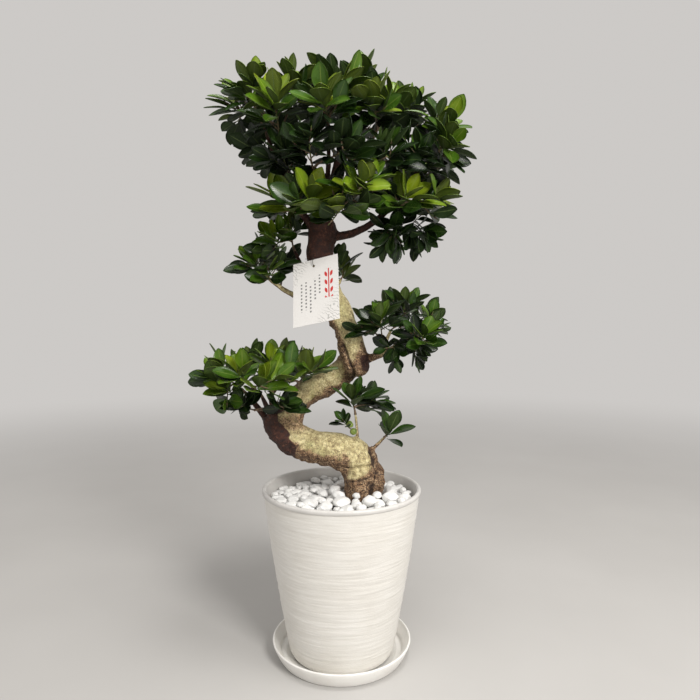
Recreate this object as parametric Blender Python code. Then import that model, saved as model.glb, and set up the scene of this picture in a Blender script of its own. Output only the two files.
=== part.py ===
"""A potted ficus: an S-curved trunk with leafy pads, in a tall white pot on its saucer.

Metres, +Z up, front towards -Y. The origin is the centre of the saucer's flat underside.
Everything that belongs to the tree is given from the pot's axis and from the height of its rim.
"""

import math
import random

import bmesh
import bpy
from mathutils import Euler, Matrix, Vector
from mathutils.bvhtree import BVHTree

GAP = 0.0003  # kept between pieces that touch
TURN = 2 * math.pi
UP = Vector((0, 0, 1))

# Saucer
SAUCER_RADIUS = 0.132
SAUCER_HEIGHT = 0.030
SAUCER_FLOOR = 0.0047
SAUCER_WALL = 0.004
SAUCER_SPREAD = 0.012  # how far the rim reaches past the underside
SAUCER_STEP = 0.0015  # height of the step on the floor that centres the pot
SAUCER_STEP_CLEARANCE = 0.006  # from the pot's foot out to that step
SAUCER_ROUND = 0.004

# Pot
POT_RIM_RADIUS = 0.150
POT_FOOT_RADIUS = 0.098
POT_HEIGHT = 0.315
POT_WALL = 0.0065
POT_BULGE = 0.0025  # how far the wall stands outside a straight cone at half height
POT_FOOT_ROUND = 0.008
POT_CORNER = 0.006  # the bevel inside, round the floor's edge
LIP_HEIGHT = 0.009
LIP_WIDTH = 0.008
LIP_PROUD = 0.003  # how far the lip stands outside the wall
LIP_BEVEL = 0.0008  # on the lip's lower edge
DRAIN_RADIUS = 0.006
DRAIN_CIRCLE = 0.050
DRAIN_COUNT = 5

# Soil and pebbles
SOIL_DROP = 0.048  # the soil's edge, below the rim
SOIL_CROWN = 0.010  # how much higher the soil is at the middle
SOIL_CLEARANCE = 0.0009  # from the pot's wall, whose levels are joined by straight runs
PEBBLE_COUNT = 19
PEBBLE_LENGTH = 0.045
PEBBLE_WIDTH = 0.037
PEBBLE_DEPTH = 0.027
PEBBLE_CLEARANCE = 0.0018  # from the pot's wall
PEBBLE_PLACES = 21  # places of the spiral before the stones start a higher layer
PEBBLE_SPREAD = 0.03  # room kept round each stone, as a share of its size
PEBBLE_LUMPS = 0.035
PEBBLE_TILT = 0.15
SHRINKS = [1.0 - 0.05 * k for k in range(9)]
GOLDEN_TURN = TURN * 0.381966

# Tree
TREE_HEIGHT = 0.805  # the crown's top above the rim
DRAWN_HEIGHT = 0.805  # the height at which the points below are drawn
TRUNK_GIRTH = 1.0  # 1 is the trunk as drawn
TRUNK_SIDES = 12
TRUNK_SPAN = 3  # rings from one knot of the trunk to the next
LIMB_SIDES = 6
LIMB_SPAN = 2  # rings from one knot of a limb to the next

# Shoots and leaves
TWIG_RADIUS = 0.0017
SIDE_TWIG = 0.85  # a side shoot's radius, as a share of the main one's
SHOOT_SPAN = 0.024  # the longest stretch between rings
SHOOT_EASE = 0.35  # how long a shoot keeps its first and last directions
SHOOT_TRIES = 40
SHOOT_PLAY = 0.0008  # how much wider each new try of a shoot may wander
COLLAR = 0.004  # a shoot's first stretch, square to what it grows from
WHORL_STEP = 0.0035  # the stretch of shoot that carries four leaves
WHORL_PITCH = math.radians(22)  # the lowest leaves' rise above square to the shoot
WHORL_RISE = math.radians(24)  # how much more the next whorl rises
WHORL_SWING = math.radians(40)  # how far every second whorl is turned
MAIN_WHORLS = 2
SIDE_WHORLS = 1
LEAF_LENGTH = 0.050
LEAF_WIDTH = 0.027
LEAF_THICKNESS = 0.0010
LEAF_CLEARANCE = 0.0006
LEAF_BEND = 0.10  # how far the tip drops, as a share of the length
LEAF_WIDEST = 0.58
LEAF_TIP = 0.13  # half of the blunt tip's width, as a share of the leaf's width
LEAF_TURNS = (0, 0.25, -0.25, 0.5, -0.5)  # the turns that a leaf tries until it is clear
TIP_LEAF = (0.9, 0.8)  # the last leaf's length and width, as shares of the others'

# Card and its tie
CARD_WIDTH = 0.089
CARD_LENGTH = 0.127
CARD_THICKNESS = 0.0008
CARD_HOLE_RADIUS = 0.0025
CARD_HOLE_INSET = 0.0135  # from the card's top edge
CARD_SHIFT = 0.003  # the hole is this far left of the card's middle line
CARD_HANG = 0.412  # the hole above the rim, as drawn
CARD_STANDOFF = 0.022  # from the trunk's front to the hole
CARD_TURN = math.radians(-24.8)
CARD_LEAN = math.radians(-21.9)
CARD_ROLL = math.radians(-12.0)
CARD_SIDESTEP = 0.011  # the hole is this far left of the trunk's middle line
TIE_RADIUS = 0.0007
TIE_SLACK = 0.0020  # between the tie and the trunk's bark
TIE_RISE = 0.016  # the loop round the trunk, above the hole
TIE_TILT = 0.004  # how far the loop tilts
TIE_STANDOFF = 0.004  # from the card's face to the wire in front of it
TIE_BEHIND = 0.010

TURNED_SIDES = 36
POT_FOOT_Z = SAUCER_FLOOR + GAP
RIM_Z = POT_FOOT_Z + POT_HEIGHT
SHOULDER = POT_HEIGHT - LIP_HEIGHT  # the lip's lower edge above the pot's foot
SCALE = TREE_HEIGHT / DRAWN_HEIGHT
CUBE = [Vector((x, y, z)) for z in (-1, 1) for y in (-1, 1) for x in (-1, 1)]
CUBE_FACES = [(0, 1, 3, 2), (4, 6, 7, 5), (0, 4, 5, 1), (2, 3, 7, 6), (0, 2, 6, 4), (1, 5, 7, 3)]

# The trunk's three sweeps, x, y, height above the rim, and radius, as drawn.
TRUNK_LOWER = [
    (0.038, 0.000, -0.110, 0.038),
    (0.038, 0.000, -0.075, 0.038),
    (0.038, 0.000, -0.040, 0.037),
    (0.039, 0.000, -0.012, 0.0360),
    (0.042, 0.000, 0.016, 0.0360),
    (0.031, -0.004, 0.048, 0.0360),
    (0.002, -0.010, 0.068, 0.0345),
    (-0.045, -0.012, 0.075, 0.0315),
    (-0.085, -0.010, 0.090, 0.0315),
    (-0.111, -0.008, 0.113, 0.0310),
    (-0.122, -0.006, 0.143, 0.0315),
]
TRUNK_MIDDLE = [
    (-0.100, 0.006, 0.100, 0.024),
    (-0.096, 0.034, 0.145, 0.0275),
    (-0.066, 0.044, 0.175, 0.0265),
    (-0.028, 0.040, 0.194, 0.0262),
    (0.006, 0.028, 0.218, 0.0262),
    (0.020, 0.012, 0.243, 0.022),
]
TRUNK_UPPER = [
    (0.031, 0.000, 0.211, 0.012),
    (0.029, -0.002, 0.226, 0.0235),
    (0.022, -0.004, 0.256, 0.0262),
    (0.013, -0.006, 0.290, 0.0248),
    (-0.009, 0.000, 0.338, 0.0245),
    (-0.031, 0.006, 0.381, 0.0248),
    (-0.039, 0.006, 0.424, 0.0255),
    (-0.036, 0.000, 0.464, 0.0265),
    (-0.035, -0.004, 0.490, 0.0262),
    (-0.034, -0.005, 0.503, 0.018),
]

# Roots and limbs that grow out of the trunk, each from a point inside it.
LIMBS = {
    "root_right": [
        (0.036, -0.016, 0.074, 0.0050),
        (0.056, -0.016, 0.062, 0.0062),
        (0.073, -0.012, 0.034, 0.0070),
        (0.073, -0.010, -0.006, 0.0080),
        (0.060, -0.008, -0.030, 0.0060),
    ],
    "root_front": [
        (0.030, -0.020, 0.020, 0.010),
        (0.029, -0.033, -0.006, 0.0095),
        (0.032, -0.025, -0.032, 0.006),
    ],
    "scar": [
        (0.030, -0.002, 0.236, 0.0150),
        (0.047, -0.004, 0.243, 0.0115),
    ],
    "crown_left": [
        (-0.040, 0.000, 0.470, 0.010),
        (-0.072, -0.008, 0.512, 0.0075),
        (-0.108, -0.014, 0.580, 0.0058),
        (-0.135, -0.010, 0.650, 0.0038),
    ],
    "crown_front": [
        (-0.034, -0.010, 0.478, 0.009),
        (-0.030, -0.048, 0.520, 0.0068),
        (-0.022, -0.078, 0.565, 0.0052),
        (-0.020, -0.080, 0.625, 0.0036),
    ],
    "crown_middle": [
        (-0.034, -0.004, 0.480, 0.014),
        (-0.020, 0.002, 0.550, 0.0095),
        (-0.004, -0.004, 0.620, 0.0070),
        (0.012, 0.000, 0.690, 0.0040),
    ],
    "crown_right": [
        (-0.030, 0.000, 0.468, 0.0095),
        (0.020, 0.002, 0.476, 0.0080),
        (0.070, -0.008, 0.503, 0.0064),
        (0.120, -0.016, 0.556, 0.0048),
        (0.148, -0.010, 0.606, 0.0036),
    ],
    "crown_back": [
        (-0.036, 0.004, 0.478, 0.009),
        (-0.022, 0.048, 0.530, 0.0066),
        (0.000, 0.078, 0.600, 0.0052),
        (0.010, 0.088, 0.660, 0.0036),
    ],
    "crown_upper_right": [
        (-0.010, -0.001, 0.590, 0.0062),
        (0.040, 0.012, 0.618, 0.0054),
        (0.090, 0.012, 0.642, 0.0046),
        (0.130, 0.018, 0.660, 0.0036),
    ],
    "crown_back_left": [
        (-0.085, -0.010, 0.536, 0.0056),
        (-0.106, 0.036, 0.572, 0.0048),
        (-0.122, 0.066, 0.625, 0.0036),
    ],
    "left_mid_low": [
        (-0.020, 0.006, 0.350, 0.0085),
        (-0.066, 0.018, 0.352, 0.0066),
        (-0.112, 0.022, 0.374, 0.0052),
        (-0.148, 0.026, 0.402, 0.0036),
    ],
    "left_mid_high": [
        (-0.032, 0.010, 0.380, 0.0075),
        (-0.066, 0.028, 0.400, 0.0056),
        (-0.090, 0.028, 0.448, 0.0036),
    ],
    "left_mid_back": [
        (-0.028, 0.012, 0.378, 0.0060),
        (-0.010, 0.036, 0.382, 0.0048),
        (-0.002, 0.046, 0.394, 0.0036),
    ],
    "right_front": [
        (0.030, -0.002, 0.238, 0.0095),
        (0.060, -0.004, 0.246, 0.0080),
        (0.088, -0.008, 0.258, 0.0060),
        (0.116, -0.010, 0.278, 0.0046),
        (0.136, -0.008, 0.298, 0.0036),
    ],
    "right_back": [
        (0.072, -0.006, 0.251, 0.0056),
        (0.084, 0.028, 0.272, 0.0046),
        (0.096, 0.052, 0.294, 0.0036),
    ],
    "low_left": [
        (-0.136, -0.010, 0.122, 0.0080),
        (-0.156, -0.014, 0.152, 0.0062),
        (-0.178, -0.022, 0.182, 0.0038),
    ],
    "low_front": [
        (-0.126, -0.020, 0.124, 0.0075),
        (-0.134, -0.042, 0.155, 0.0058),
        (-0.142, -0.058, 0.180, 0.0036),
    ],
    "low_right": [
        (-0.108, -0.014, 0.126, 0.0075),
        (-0.098, -0.034, 0.160, 0.0058),
        (-0.086, -0.044, 0.190, 0.0036),
    ],
    "low_back": [
        (-0.126, 0.004, 0.126, 0.0075),
        (-0.136, 0.022, 0.165, 0.0058),
        (-0.134, 0.038, 0.196, 0.0036),
    ],
    "sprout_tall": [
        (0.030, -0.004, 0.062, 0.0055),
        (0.030, -0.004, 0.098, 0.0036),
        (0.026, -0.004, 0.140, 0.0028),
    ],
    "sprout_side": [
        (0.046, -0.002, 0.060, 0.0050),
        (0.070, -0.002, 0.082, 0.0036),
        (0.082, -0.006, 0.096, 0.0028),
    ],
}

# Each leafy spray: the limb that it sits on, how far along the limb, how much its
# shoots turn upwards (below nought they hang), its leaf size, and its shoots' tips.
SPRAYS = {
    "crown_01": ("crown_left", 1.00, 0.9, 1.00, [(-0.164, -0.030, 0.734), (-0.192, 0.004, 0.710)]),
    "crown_02": ("crown_left", 0.80, 0.9, 0.95, [(-0.109, -0.100, 0.688), (-0.079, -0.050, 0.727)]),
    "crown_03": ("crown_front", 1.00, 0.9, 1.00, [(-0.025, -0.110, 0.684), (0.000, -0.055, 0.727)]),
    "crown_04": ("crown_middle", 1.00, 1.2, 1.05, [(0.037, 0.020, 0.754), (-0.030, 0.040, 0.745)]),
    "crown_05": ("crown_upper_right", 0.50, 0.9, 1.00, [(0.088, -0.020, 0.707), (0.057, -0.080, 0.690)]),
    "crown_06": ("crown_upper_right", 1.00, 0.9, 1.00, [(0.186, 0.004, 0.672), (0.120, 0.050, 0.715)]),
    "crown_07": ("crown_right", 1.00, 0.5, 1.00, [(0.192, -0.036, 0.632), (0.169, 0.040, 0.602)]),
    "crown_08": ("crown_back_left", 1.00, 0.9, 1.00, [(-0.143, 0.090, 0.725), (-0.105, 0.110, 0.640)]),
    "crown_09": ("crown_back", 1.00, 0.9, 1.00, [(-0.024, 0.105, 0.740), (0.087, 0.110, 0.715)]),
    "crown_10": ("crown_left", 0.55, 0.6, 0.95, [(-0.101, -0.070, 0.609), (-0.149, 0.020, 0.655)]),
    "crown_11": ("crown_front", 0.60, 0.6, 0.95, [(-0.054, -0.115, 0.618), (0.015, -0.120, 0.605)]),
    "crown_12": ("crown_right", 0.82, 0.6, 0.95, [(0.135, -0.050, 0.613), (0.070, -0.085, 0.606)]),
    "crown_13": ("crown_left", 0.25, 0.5, 1.05, [(-0.090, -0.060, 0.521), (-0.050, -0.105, 0.524)]),
    "crown_14": ("crown_front", 0.35, 0.5, 1.00, [(0.036, -0.125, 0.544), (-0.006, -0.125, 0.505)]),
    "crown_15": ("crown_right", 0.58, 0.4, 1.00, [(0.115, -0.070, 0.531), (0.168, -0.030, 0.534)]),
    "crown_16": ("crown_right", 0.42, -0.7, 0.85, [(0.150, -0.010, 0.474), (0.092, -0.020, 0.470)]),
    "crown_17": ("crown_back", 0.50, 0.3, 0.95, [(0.006, 0.125, 0.570), (0.110, 0.110, 0.600)]),
    "left_mid_01": ("left_mid_high", 1.00, 0.8, 0.90, [(-0.100, 0.020, 0.487), (-0.126, -0.020, 0.455)]),
    "left_mid_02": ("left_mid_low", 1.00, 0.6, 0.85, [(-0.180, 0.000, 0.418), (-0.158, 0.035, 0.426)]),
    "left_mid_03": ("left_mid_low", 0.75, 0.7, 0.85, [(-0.130, 0.080, 0.432), (-0.134, -0.014, 0.408)]),
    "left_mid_04": ("left_mid_back", 1.00, 0.6, 0.85, [(0.004, 0.058, 0.408)]),
    "right_01": ("right_front", 0.50, 0.8, 0.85, [(0.069, -0.060, 0.318), (0.052, -0.034, 0.302)]),
    "right_02": ("right_front", 0.80, 0.9, 0.85, [(0.117, 0.000, 0.342), (0.148, -0.052, 0.290)]),
    "right_03": ("right_front", 1.00, 0.6, 0.85, [(0.166, 0.000, 0.312), (0.146, 0.040, 0.318)]),
    "right_04": ("right_front", 0.62, -0.6, 0.70, [(0.096, -0.044, 0.262), (0.140, -0.012, 0.262)]),
    "right_05": ("right_back", 1.00, 0.8, 0.85, [(0.116, 0.084, 0.312), (0.082, 0.058, 0.330)]),
    "lower_left_01": ("low_left", 1.00, 0.6, 0.90, [(-0.220, -0.030, 0.224), (-0.208, -0.050, 0.194)]),
    "lower_left_02": ("low_front", 1.00, 0.8, 0.95, [(-0.178, -0.080, 0.222), (-0.140, -0.100, 0.208)]),
    "lower_left_03": ("low_back", 1.00, 0.9, 0.95, [(-0.133, 0.004, 0.236), (-0.176, 0.046, 0.222)]),
    "lower_left_04": ("low_right", 1.00, 0.8, 0.95, [(-0.064, -0.040, 0.222), (-0.100, -0.080, 0.216)]),
    "lower_left_05": ("low_back", 0.65, 0.6, 0.85, [(-0.136, 0.082, 0.205), (-0.090, 0.078, 0.222)]),
    "lower_left_06": ("low_front", 0.55, 0.2, 0.80, [(-0.182, -0.056, 0.164), (-0.100, -0.088, 0.170)]),
    "sprout_01": ("sprout_tall", 1.00, 0.8, 0.80, [(0.020, -0.014, 0.170), (0.054, 0.000, 0.162)]),
    "sprout_02": ("sprout_side", 1.00, 0.7, 0.78, [(0.091, -0.010, 0.110)]),
    "sprout_03": ("sprout_tall", 0.60, 0.5, 0.55, [(0.004, -0.020, 0.128)]),
}
FIG_SPRAY = "sprout_03"  # the spray that carries the small figs
FIG_RADIUS = 0.0055
FIG_STALK = 0.004
FIG_COUNT = 3
FIG_RINGS = [(0, 0.35), (0.6, 0.9), (1.4, 0.9)]  # distance past the stalk and width, in radii


# ---------------------------------------------------------------- helpers


def clear_scene():
    """Takes everything out of the scene that the part is built in."""
    for thing in list(bpy.data.objects):
        bpy.data.objects.remove(thing, do_unlink=True)


def finish(name, colour, roughness, metallic=0.0):
    """A Principled material of the piece's own."""
    material = bpy.data.materials.new(name)
    material.use_nodes = True
    shader = material.node_tree.nodes["Principled BSDF"]
    shader.inputs["Base Color"].default_value = (*colour, 1)
    shader.inputs["Roughness"].default_value = roughness
    shader.inputs["Metallic"].default_value = metallic
    return material


def solid(name, points, faces, material=None, sharp_angle=math.radians(50)):
    """An object with smooth shading from points and faces, its faces pointing out."""
    mesh = bpy.data.meshes.new(name)
    mesh.from_pydata([tuple(point) for point in points], [], faces)
    skin = bmesh.new()
    skin.from_mesh(mesh)
    bmesh.ops.recalc_face_normals(skin, faces=skin.faces)
    skin.to_mesh(mesh)
    skin.free()
    mesh.shade_smooth()
    mesh.set_sharp_from_angle(angle=sharp_angle)
    if material:
        mesh.materials.append(material)
    thing = bpy.data.objects.new(name, mesh)
    bpy.context.scene.collection.objects.link(thing)
    return thing


def as_cutter(thing):
    """Marks an object that only shapes another one."""
    thing.hide_render = True
    thing.display_type = "WIRE"
    return thing


def combine(thing, other, operation):
    """Joins or cuts one object with another, which becomes a cutter."""
    modifier = thing.modifiers.new(f"{operation.lower()} {other.name}", "BOOLEAN")
    modifier.operation = operation
    modifier.solver = "EXACT"
    modifier.object = as_cutter(other)


def turned(profile, sides):
    """Points and faces of a closed profile of (radius, z) turned about the Z axis."""
    points = []
    rings = []
    for radius, z in profile:
        if radius == 0:
            rings.append([len(points)] * sides)
            points.append((0, 0, z))
            continue
        rings.append(list(range(len(points), len(points) + sides)))
        for k in range(sides):
            points.append((radius * math.cos(TURN * k / sides), radius * math.sin(TURN * k / sides), z))
    faces = []
    for i, low in enumerate(rings):
        high = rings[(i + 1) % len(rings)]
        if low[0] == low[1] and high[0] == high[1]:
            continue
        for k in range(sides):
            corners = (low[k], low[(k + 1) % sides], high[(k + 1) % sides], high[k])
            faces.append(tuple(dict.fromkeys(corners)))
    return points, faces


def arc(centre_r, centre_z, radius, start, end, steps):
    """Points of (radius, z) on an arc, with its angles in degrees from the +R direction."""
    angles = [math.radians(start + (end - start) * k / steps) for k in range(steps + 1)]
    return [(centre_r + radius * math.cos(a), centre_z + radius * math.sin(a)) for a in angles]


def smooth_path(knots, per_span):
    """A Catmull-Rom curve through knots of any number of values."""
    ends = [tuple(2 * a - b for a, b in zip(knots[0], knots[1]))]
    ends += list(knots)
    ends.append(tuple(2 * a - b for a, b in zip(knots[-1], knots[-2])))
    path = []
    for i in range(len(knots) - 1):
        before, start, end, after = ends[i : i + 4]
        for k in range(per_span):
            t = k / per_span
            path.append(
                tuple(
                    0.5 * (2 * b + (c - a) * t + (2 * a - 5 * b + 4 * c - d) * t**2
                           + (3 * b - a - 3 * c + d) * t**3)
                    for a, b, c, d in zip(before, start, end, after)
                )
            )
    path.append(tuple(knots[-1]))
    return path


def frames(centres, across=None, closed=False):
    """An unturning frame (along, across, upright) at each centre of a path."""
    count = len(centres)
    result = []
    for i, centre in enumerate(centres):
        before = centres[(i - 1) % count] if closed or i else centre
        after = centres[(i + 1) % count] if closed or i < count - 1 else centre
        along = (after - before).normalized()
        if across is None:
            across = along.orthogonal()
        across = (across - along * across.dot(along)).normalized()
        result.append((along, across, along.cross(across)))
    return result


def tube(path, sides, swell=0.0):
    """Points and faces of a capped tube along a path of (x, y, z, radius)."""
    centres = [Vector(knot[:3]) for knot in path]
    points = []
    faces = []
    for (_, across, upright), centre, knot in zip(frames(centres), centres, path):
        for k in range(sides):
            angle = TURN * k / sides
            spoke = across * math.cos(angle) + upright * math.sin(angle)
            points.append(centre + spoke * (knot[3] + swell))
    for i in range(len(path) - 1):
        for k in range(sides):
            a = i * sides + k
            b = i * sides + (k + 1) % sides
            faces.append((a, b, b + sides, a + sides))
    faces.append(tuple(range(sides - 1, -1, -1)))
    faces.append(tuple(range(len(points) - sides, len(points))))
    return points, faces


def tree_path(knots, per_span, girth=1.0):
    """A limb's drawn knots as a smooth path in the pot's frame."""
    placed = [(x * SCALE, y * SCALE, RIM_Z + z * SCALE, r * girth * SCALE) for x, y, z, r in knots]
    return smooth_path(placed, per_span)


def tree_point(x, y, z):
    """A drawn point of the tree in the pot's frame."""
    return Vector((x * SCALE, y * SCALE, RIM_Z + z * SCALE))


class Crowd:
    """The surfaces already in place, which whatever comes next has to stay clear of."""

    def __init__(self):
        self.members = []

    def add(self, points, faces, owner):
        self.members.append((*self.corners(points), BVHTree.FromPolygons(points, faces), owner))

    def corners(self, points):
        low = Vector([min(p[axis] for p in points) for axis in range(3)])
        high = Vector([max(p[axis] for p in points) for axis in range(3)])
        return low, high

    def is_clear(self, points, faces, own=None, only_others=False):
        low, high = self.corners(points)
        tree = None
        for member_low, member_high, member, owner in self.members:
            if only_others and owner == own:
                continue
            if any(low[k] > member_high[k] or high[k] < member_low[k] for k in range(3)):
                continue
            tree = tree or BVHTree.FromPolygons(points, faces)
            if member.overlap(tree):
                return False
        return True


# ---------------------------------------------------------------- pot, saucer, soil


def make_saucer():
    """A round dish with a rounded rim, and a step on its floor round the pot's foot."""
    foot = SAUCER_RADIUS - SAUCER_SPREAD
    inside = foot - SAUCER_WALL
    lip = SAUCER_WALL / 2
    step = POT_FOOT_RADIUS + SAUCER_STEP_CLEARANCE
    step_z = SAUCER_FLOOR + SAUCER_STEP
    profile = [(0, 0)]
    profile += arc(foot - SAUCER_ROUND, SAUCER_ROUND, SAUCER_ROUND, -90, -20, 2)
    profile += arc(SAUCER_RADIUS - lip, SAUCER_HEIGHT - lip, lip, 0, 180, 4)
    profile += [(inside, step_z + SAUCER_ROUND), (inside - SAUCER_ROUND, step_z)]
    profile += [(step + SAUCER_STEP, step_z), (step, SAUCER_FLOOR), (0, SAUCER_FLOOR)]
    points, faces = turned(profile, TURNED_SIDES)
    return solid("saucer", points, faces, finish("white_plastic_saucer", (0.86, 0.85, 0.83), 0.38))


def pot_wall_radius(height):
    """The wall's outer radius at a height above the pot's foot."""
    top = POT_RIM_RADIUS - LIP_PROUD
    share = height / SHOULDER
    return POT_FOOT_RADIUS + (top - POT_FOOT_RADIUS) * share + 4 * POT_BULGE * share * (1 - share)


def make_pot(crowd):
    """A tapered wall with a rolled lip, and drain holes in its floor."""
    lip = LIP_WIDTH / 2
    floor_z = POT_FOOT_Z + POT_WALL
    profile = [(0, POT_FOOT_Z)]
    profile += arc(POT_FOOT_RADIUS - POT_FOOT_ROUND, POT_FOOT_Z + POT_FOOT_ROUND, POT_FOOT_ROUND, -90, -10, 3)
    for share in (0.10, 0.32, 0.55, 0.78, 1.0):
        profile.append((pot_wall_radius(SHOULDER * share), POT_FOOT_Z + SHOULDER * share))
    profile += [(POT_RIM_RADIUS - LIP_BEVEL, POT_FOOT_Z + SHOULDER + LIP_BEVEL)]
    profile += arc(POT_RIM_RADIUS - lip, RIM_Z - lip, lip, 0, 180, 6)
    for share in (0.97, 0.70, 0.40):
        profile.append((pot_wall_radius(SHOULDER * share) - POT_WALL, POT_FOOT_Z + SHOULDER * share))
    profile += [(pot_wall_radius(POT_WALL * 2) - POT_WALL, floor_z + POT_WALL)]
    profile += [(POT_FOOT_RADIUS - POT_WALL - POT_CORNER, floor_z), (0, floor_z)]
    points, faces = turned(profile, TURNED_SIDES)
    crowd.add([Vector(point) for point in points], faces, "pot")
    pot = solid("pot", points, faces, finish("white_plastic_pot", (0.87, 0.86, 0.84), 0.55))
    combine(pot, make_drain_cutter(), "DIFFERENCE")
    return pot


def cone_object(name, radius, depth, sides, places):
    """One object that holds an upright or turned cylinder at each place, a 4 by 4 matrix."""
    skin = bmesh.new()
    for place in places:
        bmesh.ops.create_cone(
            skin, cap_ends=True, segments=sides, radius1=radius, radius2=radius, depth=depth, matrix=place
        )
    mesh = bpy.data.meshes.new(name)
    skin.to_mesh(mesh)
    skin.free()
    thing = bpy.data.objects.new(name, mesh)
    bpy.context.scene.collection.objects.link(thing)
    return thing


def make_drain_cutter():
    """The drain holes, on a circle in the pot's floor."""
    places = []
    for k in range(DRAIN_COUNT):
        angle = TURN * k / DRAIN_COUNT
        across = Vector((math.cos(angle), math.sin(angle), 0)) * DRAIN_CIRCLE
        places.append(Matrix.Translation(across + UP * (POT_FOOT_Z + POT_WALL / 2)))
    return cone_object("drain_cutter", DRAIN_RADIUS, POT_WALL * 2, 12, places)


def soil_edge_radius(height):
    """The soil's radius at a height above the pot's foot."""
    return pot_wall_radius(height) - POT_WALL - SOIL_CLEARANCE


def soil_top(radius):
    """The height of the soil's domed top at a radius."""
    edge = soil_edge_radius(POT_HEIGHT - SOIL_DROP)
    return RIM_Z - SOIL_DROP + SOIL_CROWN * (1 - (radius / edge) ** 2)


def make_soil():
    """The pot's filling, with a socket for the foot of the trunk."""
    floor_z = POT_FOOT_Z + POT_WALL + GAP
    low = POT_WALL * 2
    high = POT_HEIGHT - SOIL_DROP
    profile = [(0, floor_z), (POT_FOOT_RADIUS - POT_WALL - POT_CORNER - SOIL_CLEARANCE, floor_z)]
    profile += [(soil_edge_radius(low), POT_FOOT_Z + low + GAP)]
    for height in (SHOULDER * 0.40, SHOULDER * 0.70, high):
        profile.append((soil_edge_radius(height), POT_FOOT_Z + height))
    for share in (0.75, 0.45, 0):
        profile.append((soil_edge_radius(high) * share, soil_top(soil_edge_radius(high) * share)))
    points, faces = turned(profile, TURNED_SIDES)
    soil = solid("soil", points, faces, finish("dark_soil", (0.05, 0.035, 0.025), 0.95))
    foot = tree_path(TRUNK_LOWER[:4], 1, TRUNK_GIRTH)
    foot[0] = (*foot[0][:2], foot[0][2] - GAP, foot[0][3])
    points, faces = tube(foot, TRUNK_SIDES, swell=GAP * 1.2)
    combine(soil, solid("root_socket", points, faces), "DIFFERENCE")
    return soil


def make_pebbles(crowd):
    """Rounded stones laid on the soil in an opening spiral, each shrunk until it is clear."""
    chance = random.Random(11)
    reach = soil_edge_radius(POT_HEIGHT - SOIL_DROP) - PEBBLE_WIDTH / 2 - PEBBLE_CLEARANCE
    foot_x, foot_y, _, foot_radius = tree_path(TRUNK_LOWER, 1, TRUNK_GIRTH)[2]
    placed = 0
    step = 0
    while placed < PEBBLE_COUNT:
        layer, place = divmod(step, PEBBLE_PLACES * 2)
        radius = min(reach, reach * math.sqrt((place + 0.5) / PEBBLE_PLACES))
        angle = step * GOLDEN_TURN
        step += 1
        if math.dist((radius * math.cos(angle), radius * math.sin(angle)), (foot_x, foot_y)) < foot_radius:
            continue
        size = Vector((PEBBLE_LENGTH, PEBBLE_WIDTH, PEBBLE_DEPTH)) * 0.5 * chance.uniform(0.88, 1.0)
        tilts = [chance.uniform(-PEBBLE_TILT, PEBBLE_TILT) for _ in range(2)]
        points, faces = pebble(size, Euler((*tilts, chance.uniform(0, TURN))), chance)
        for shrink in SHRINKS:
            stone = rest_on_soil([p * shrink for p in points], radius, angle, layer * PEBBLE_DEPTH)
            if crowd.is_clear([p + (p - middle(stone)) * PEBBLE_SPREAD for p in stone], faces):
                placed += 1
                name = f"pebble_{placed:02d}"
                crowd.add(stone, faces, name)
                solid(name, stone, faces, finish(name + "_stone", (0.88, 0.88, 0.87), 0.5), math.pi)
                break


def middle(points):
    """The mean of some points."""
    return sum(points, Vector()) / len(points)


def pebble(size, turn, chance):
    """A lumpy ellipsoid about the origin."""
    skin = bmesh.new()
    bmesh.ops.create_icosphere(skin, subdivisions=2, radius=1)
    stretch = Matrix.Diagonal(size).to_3x3()
    lean = turn.to_matrix()
    points = []
    phase = [chance.uniform(0, TURN) for _ in range(3)]
    for vert in skin.verts:
        lump = PEBBLE_LUMPS * sum(math.sin(2.2 * vert.co[k] + phase[k]) for k in range(3))
        points.append(lean @ (stretch @ (vert.co * (1 + lump))))
    faces = [tuple(vert.index for vert in face.verts) for face in skin.faces]
    skin.free()
    return points, faces


def rest_on_soil(points, radius, angle, higher):
    """A stone's points moved to their place on the soil, or in a layer higher than that."""
    place = Vector((radius * math.cos(angle), radius * math.sin(angle), 0))
    moved = [p + place for p in points]
    lift = max(soil_top(math.hypot(p.x, p.y)) - p.z for p in moved) + GAP + higher
    return [p + UP * lift for p in moved]


# ---------------------------------------------------------------- trunk and limbs


def make_trunk(crowd):
    """The woody body: three sweeps with the roots and limbs joined on."""
    bark = finish("ficus_bark", (0.42, 0.36, 0.20), 0.8)
    sweeps = {"trunk": TRUNK_LOWER, "trunk_middle": TRUNK_MIDDLE, "trunk_upper": TRUNK_UPPER}
    pieces = [(name, knots, TRUNK_SPAN, TRUNK_SIDES) for name, knots in sweeps.items()]
    pieces += [(name, knots, LIMB_SPAN, LIMB_SIDES) for name, knots in LIMBS.items()]
    trunk = None
    for name, knots, per_span, sides in pieces:
        if name == "trunk":
            path = tree_path(knots[:4], 1, TRUNK_GIRTH)[:-1] + tree_path(knots[3:], per_span, TRUNK_GIRTH)
        else:
            path = tree_path(knots, per_span, TRUNK_GIRTH)
        points, faces = tube(path, sides)
        crowd.add(points, faces, "trunk")
        piece = solid(name, points, faces, bark)
        if trunk:
            combine(trunk, piece, "UNION")
        else:
            trunk = piece
    return trunk


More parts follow.
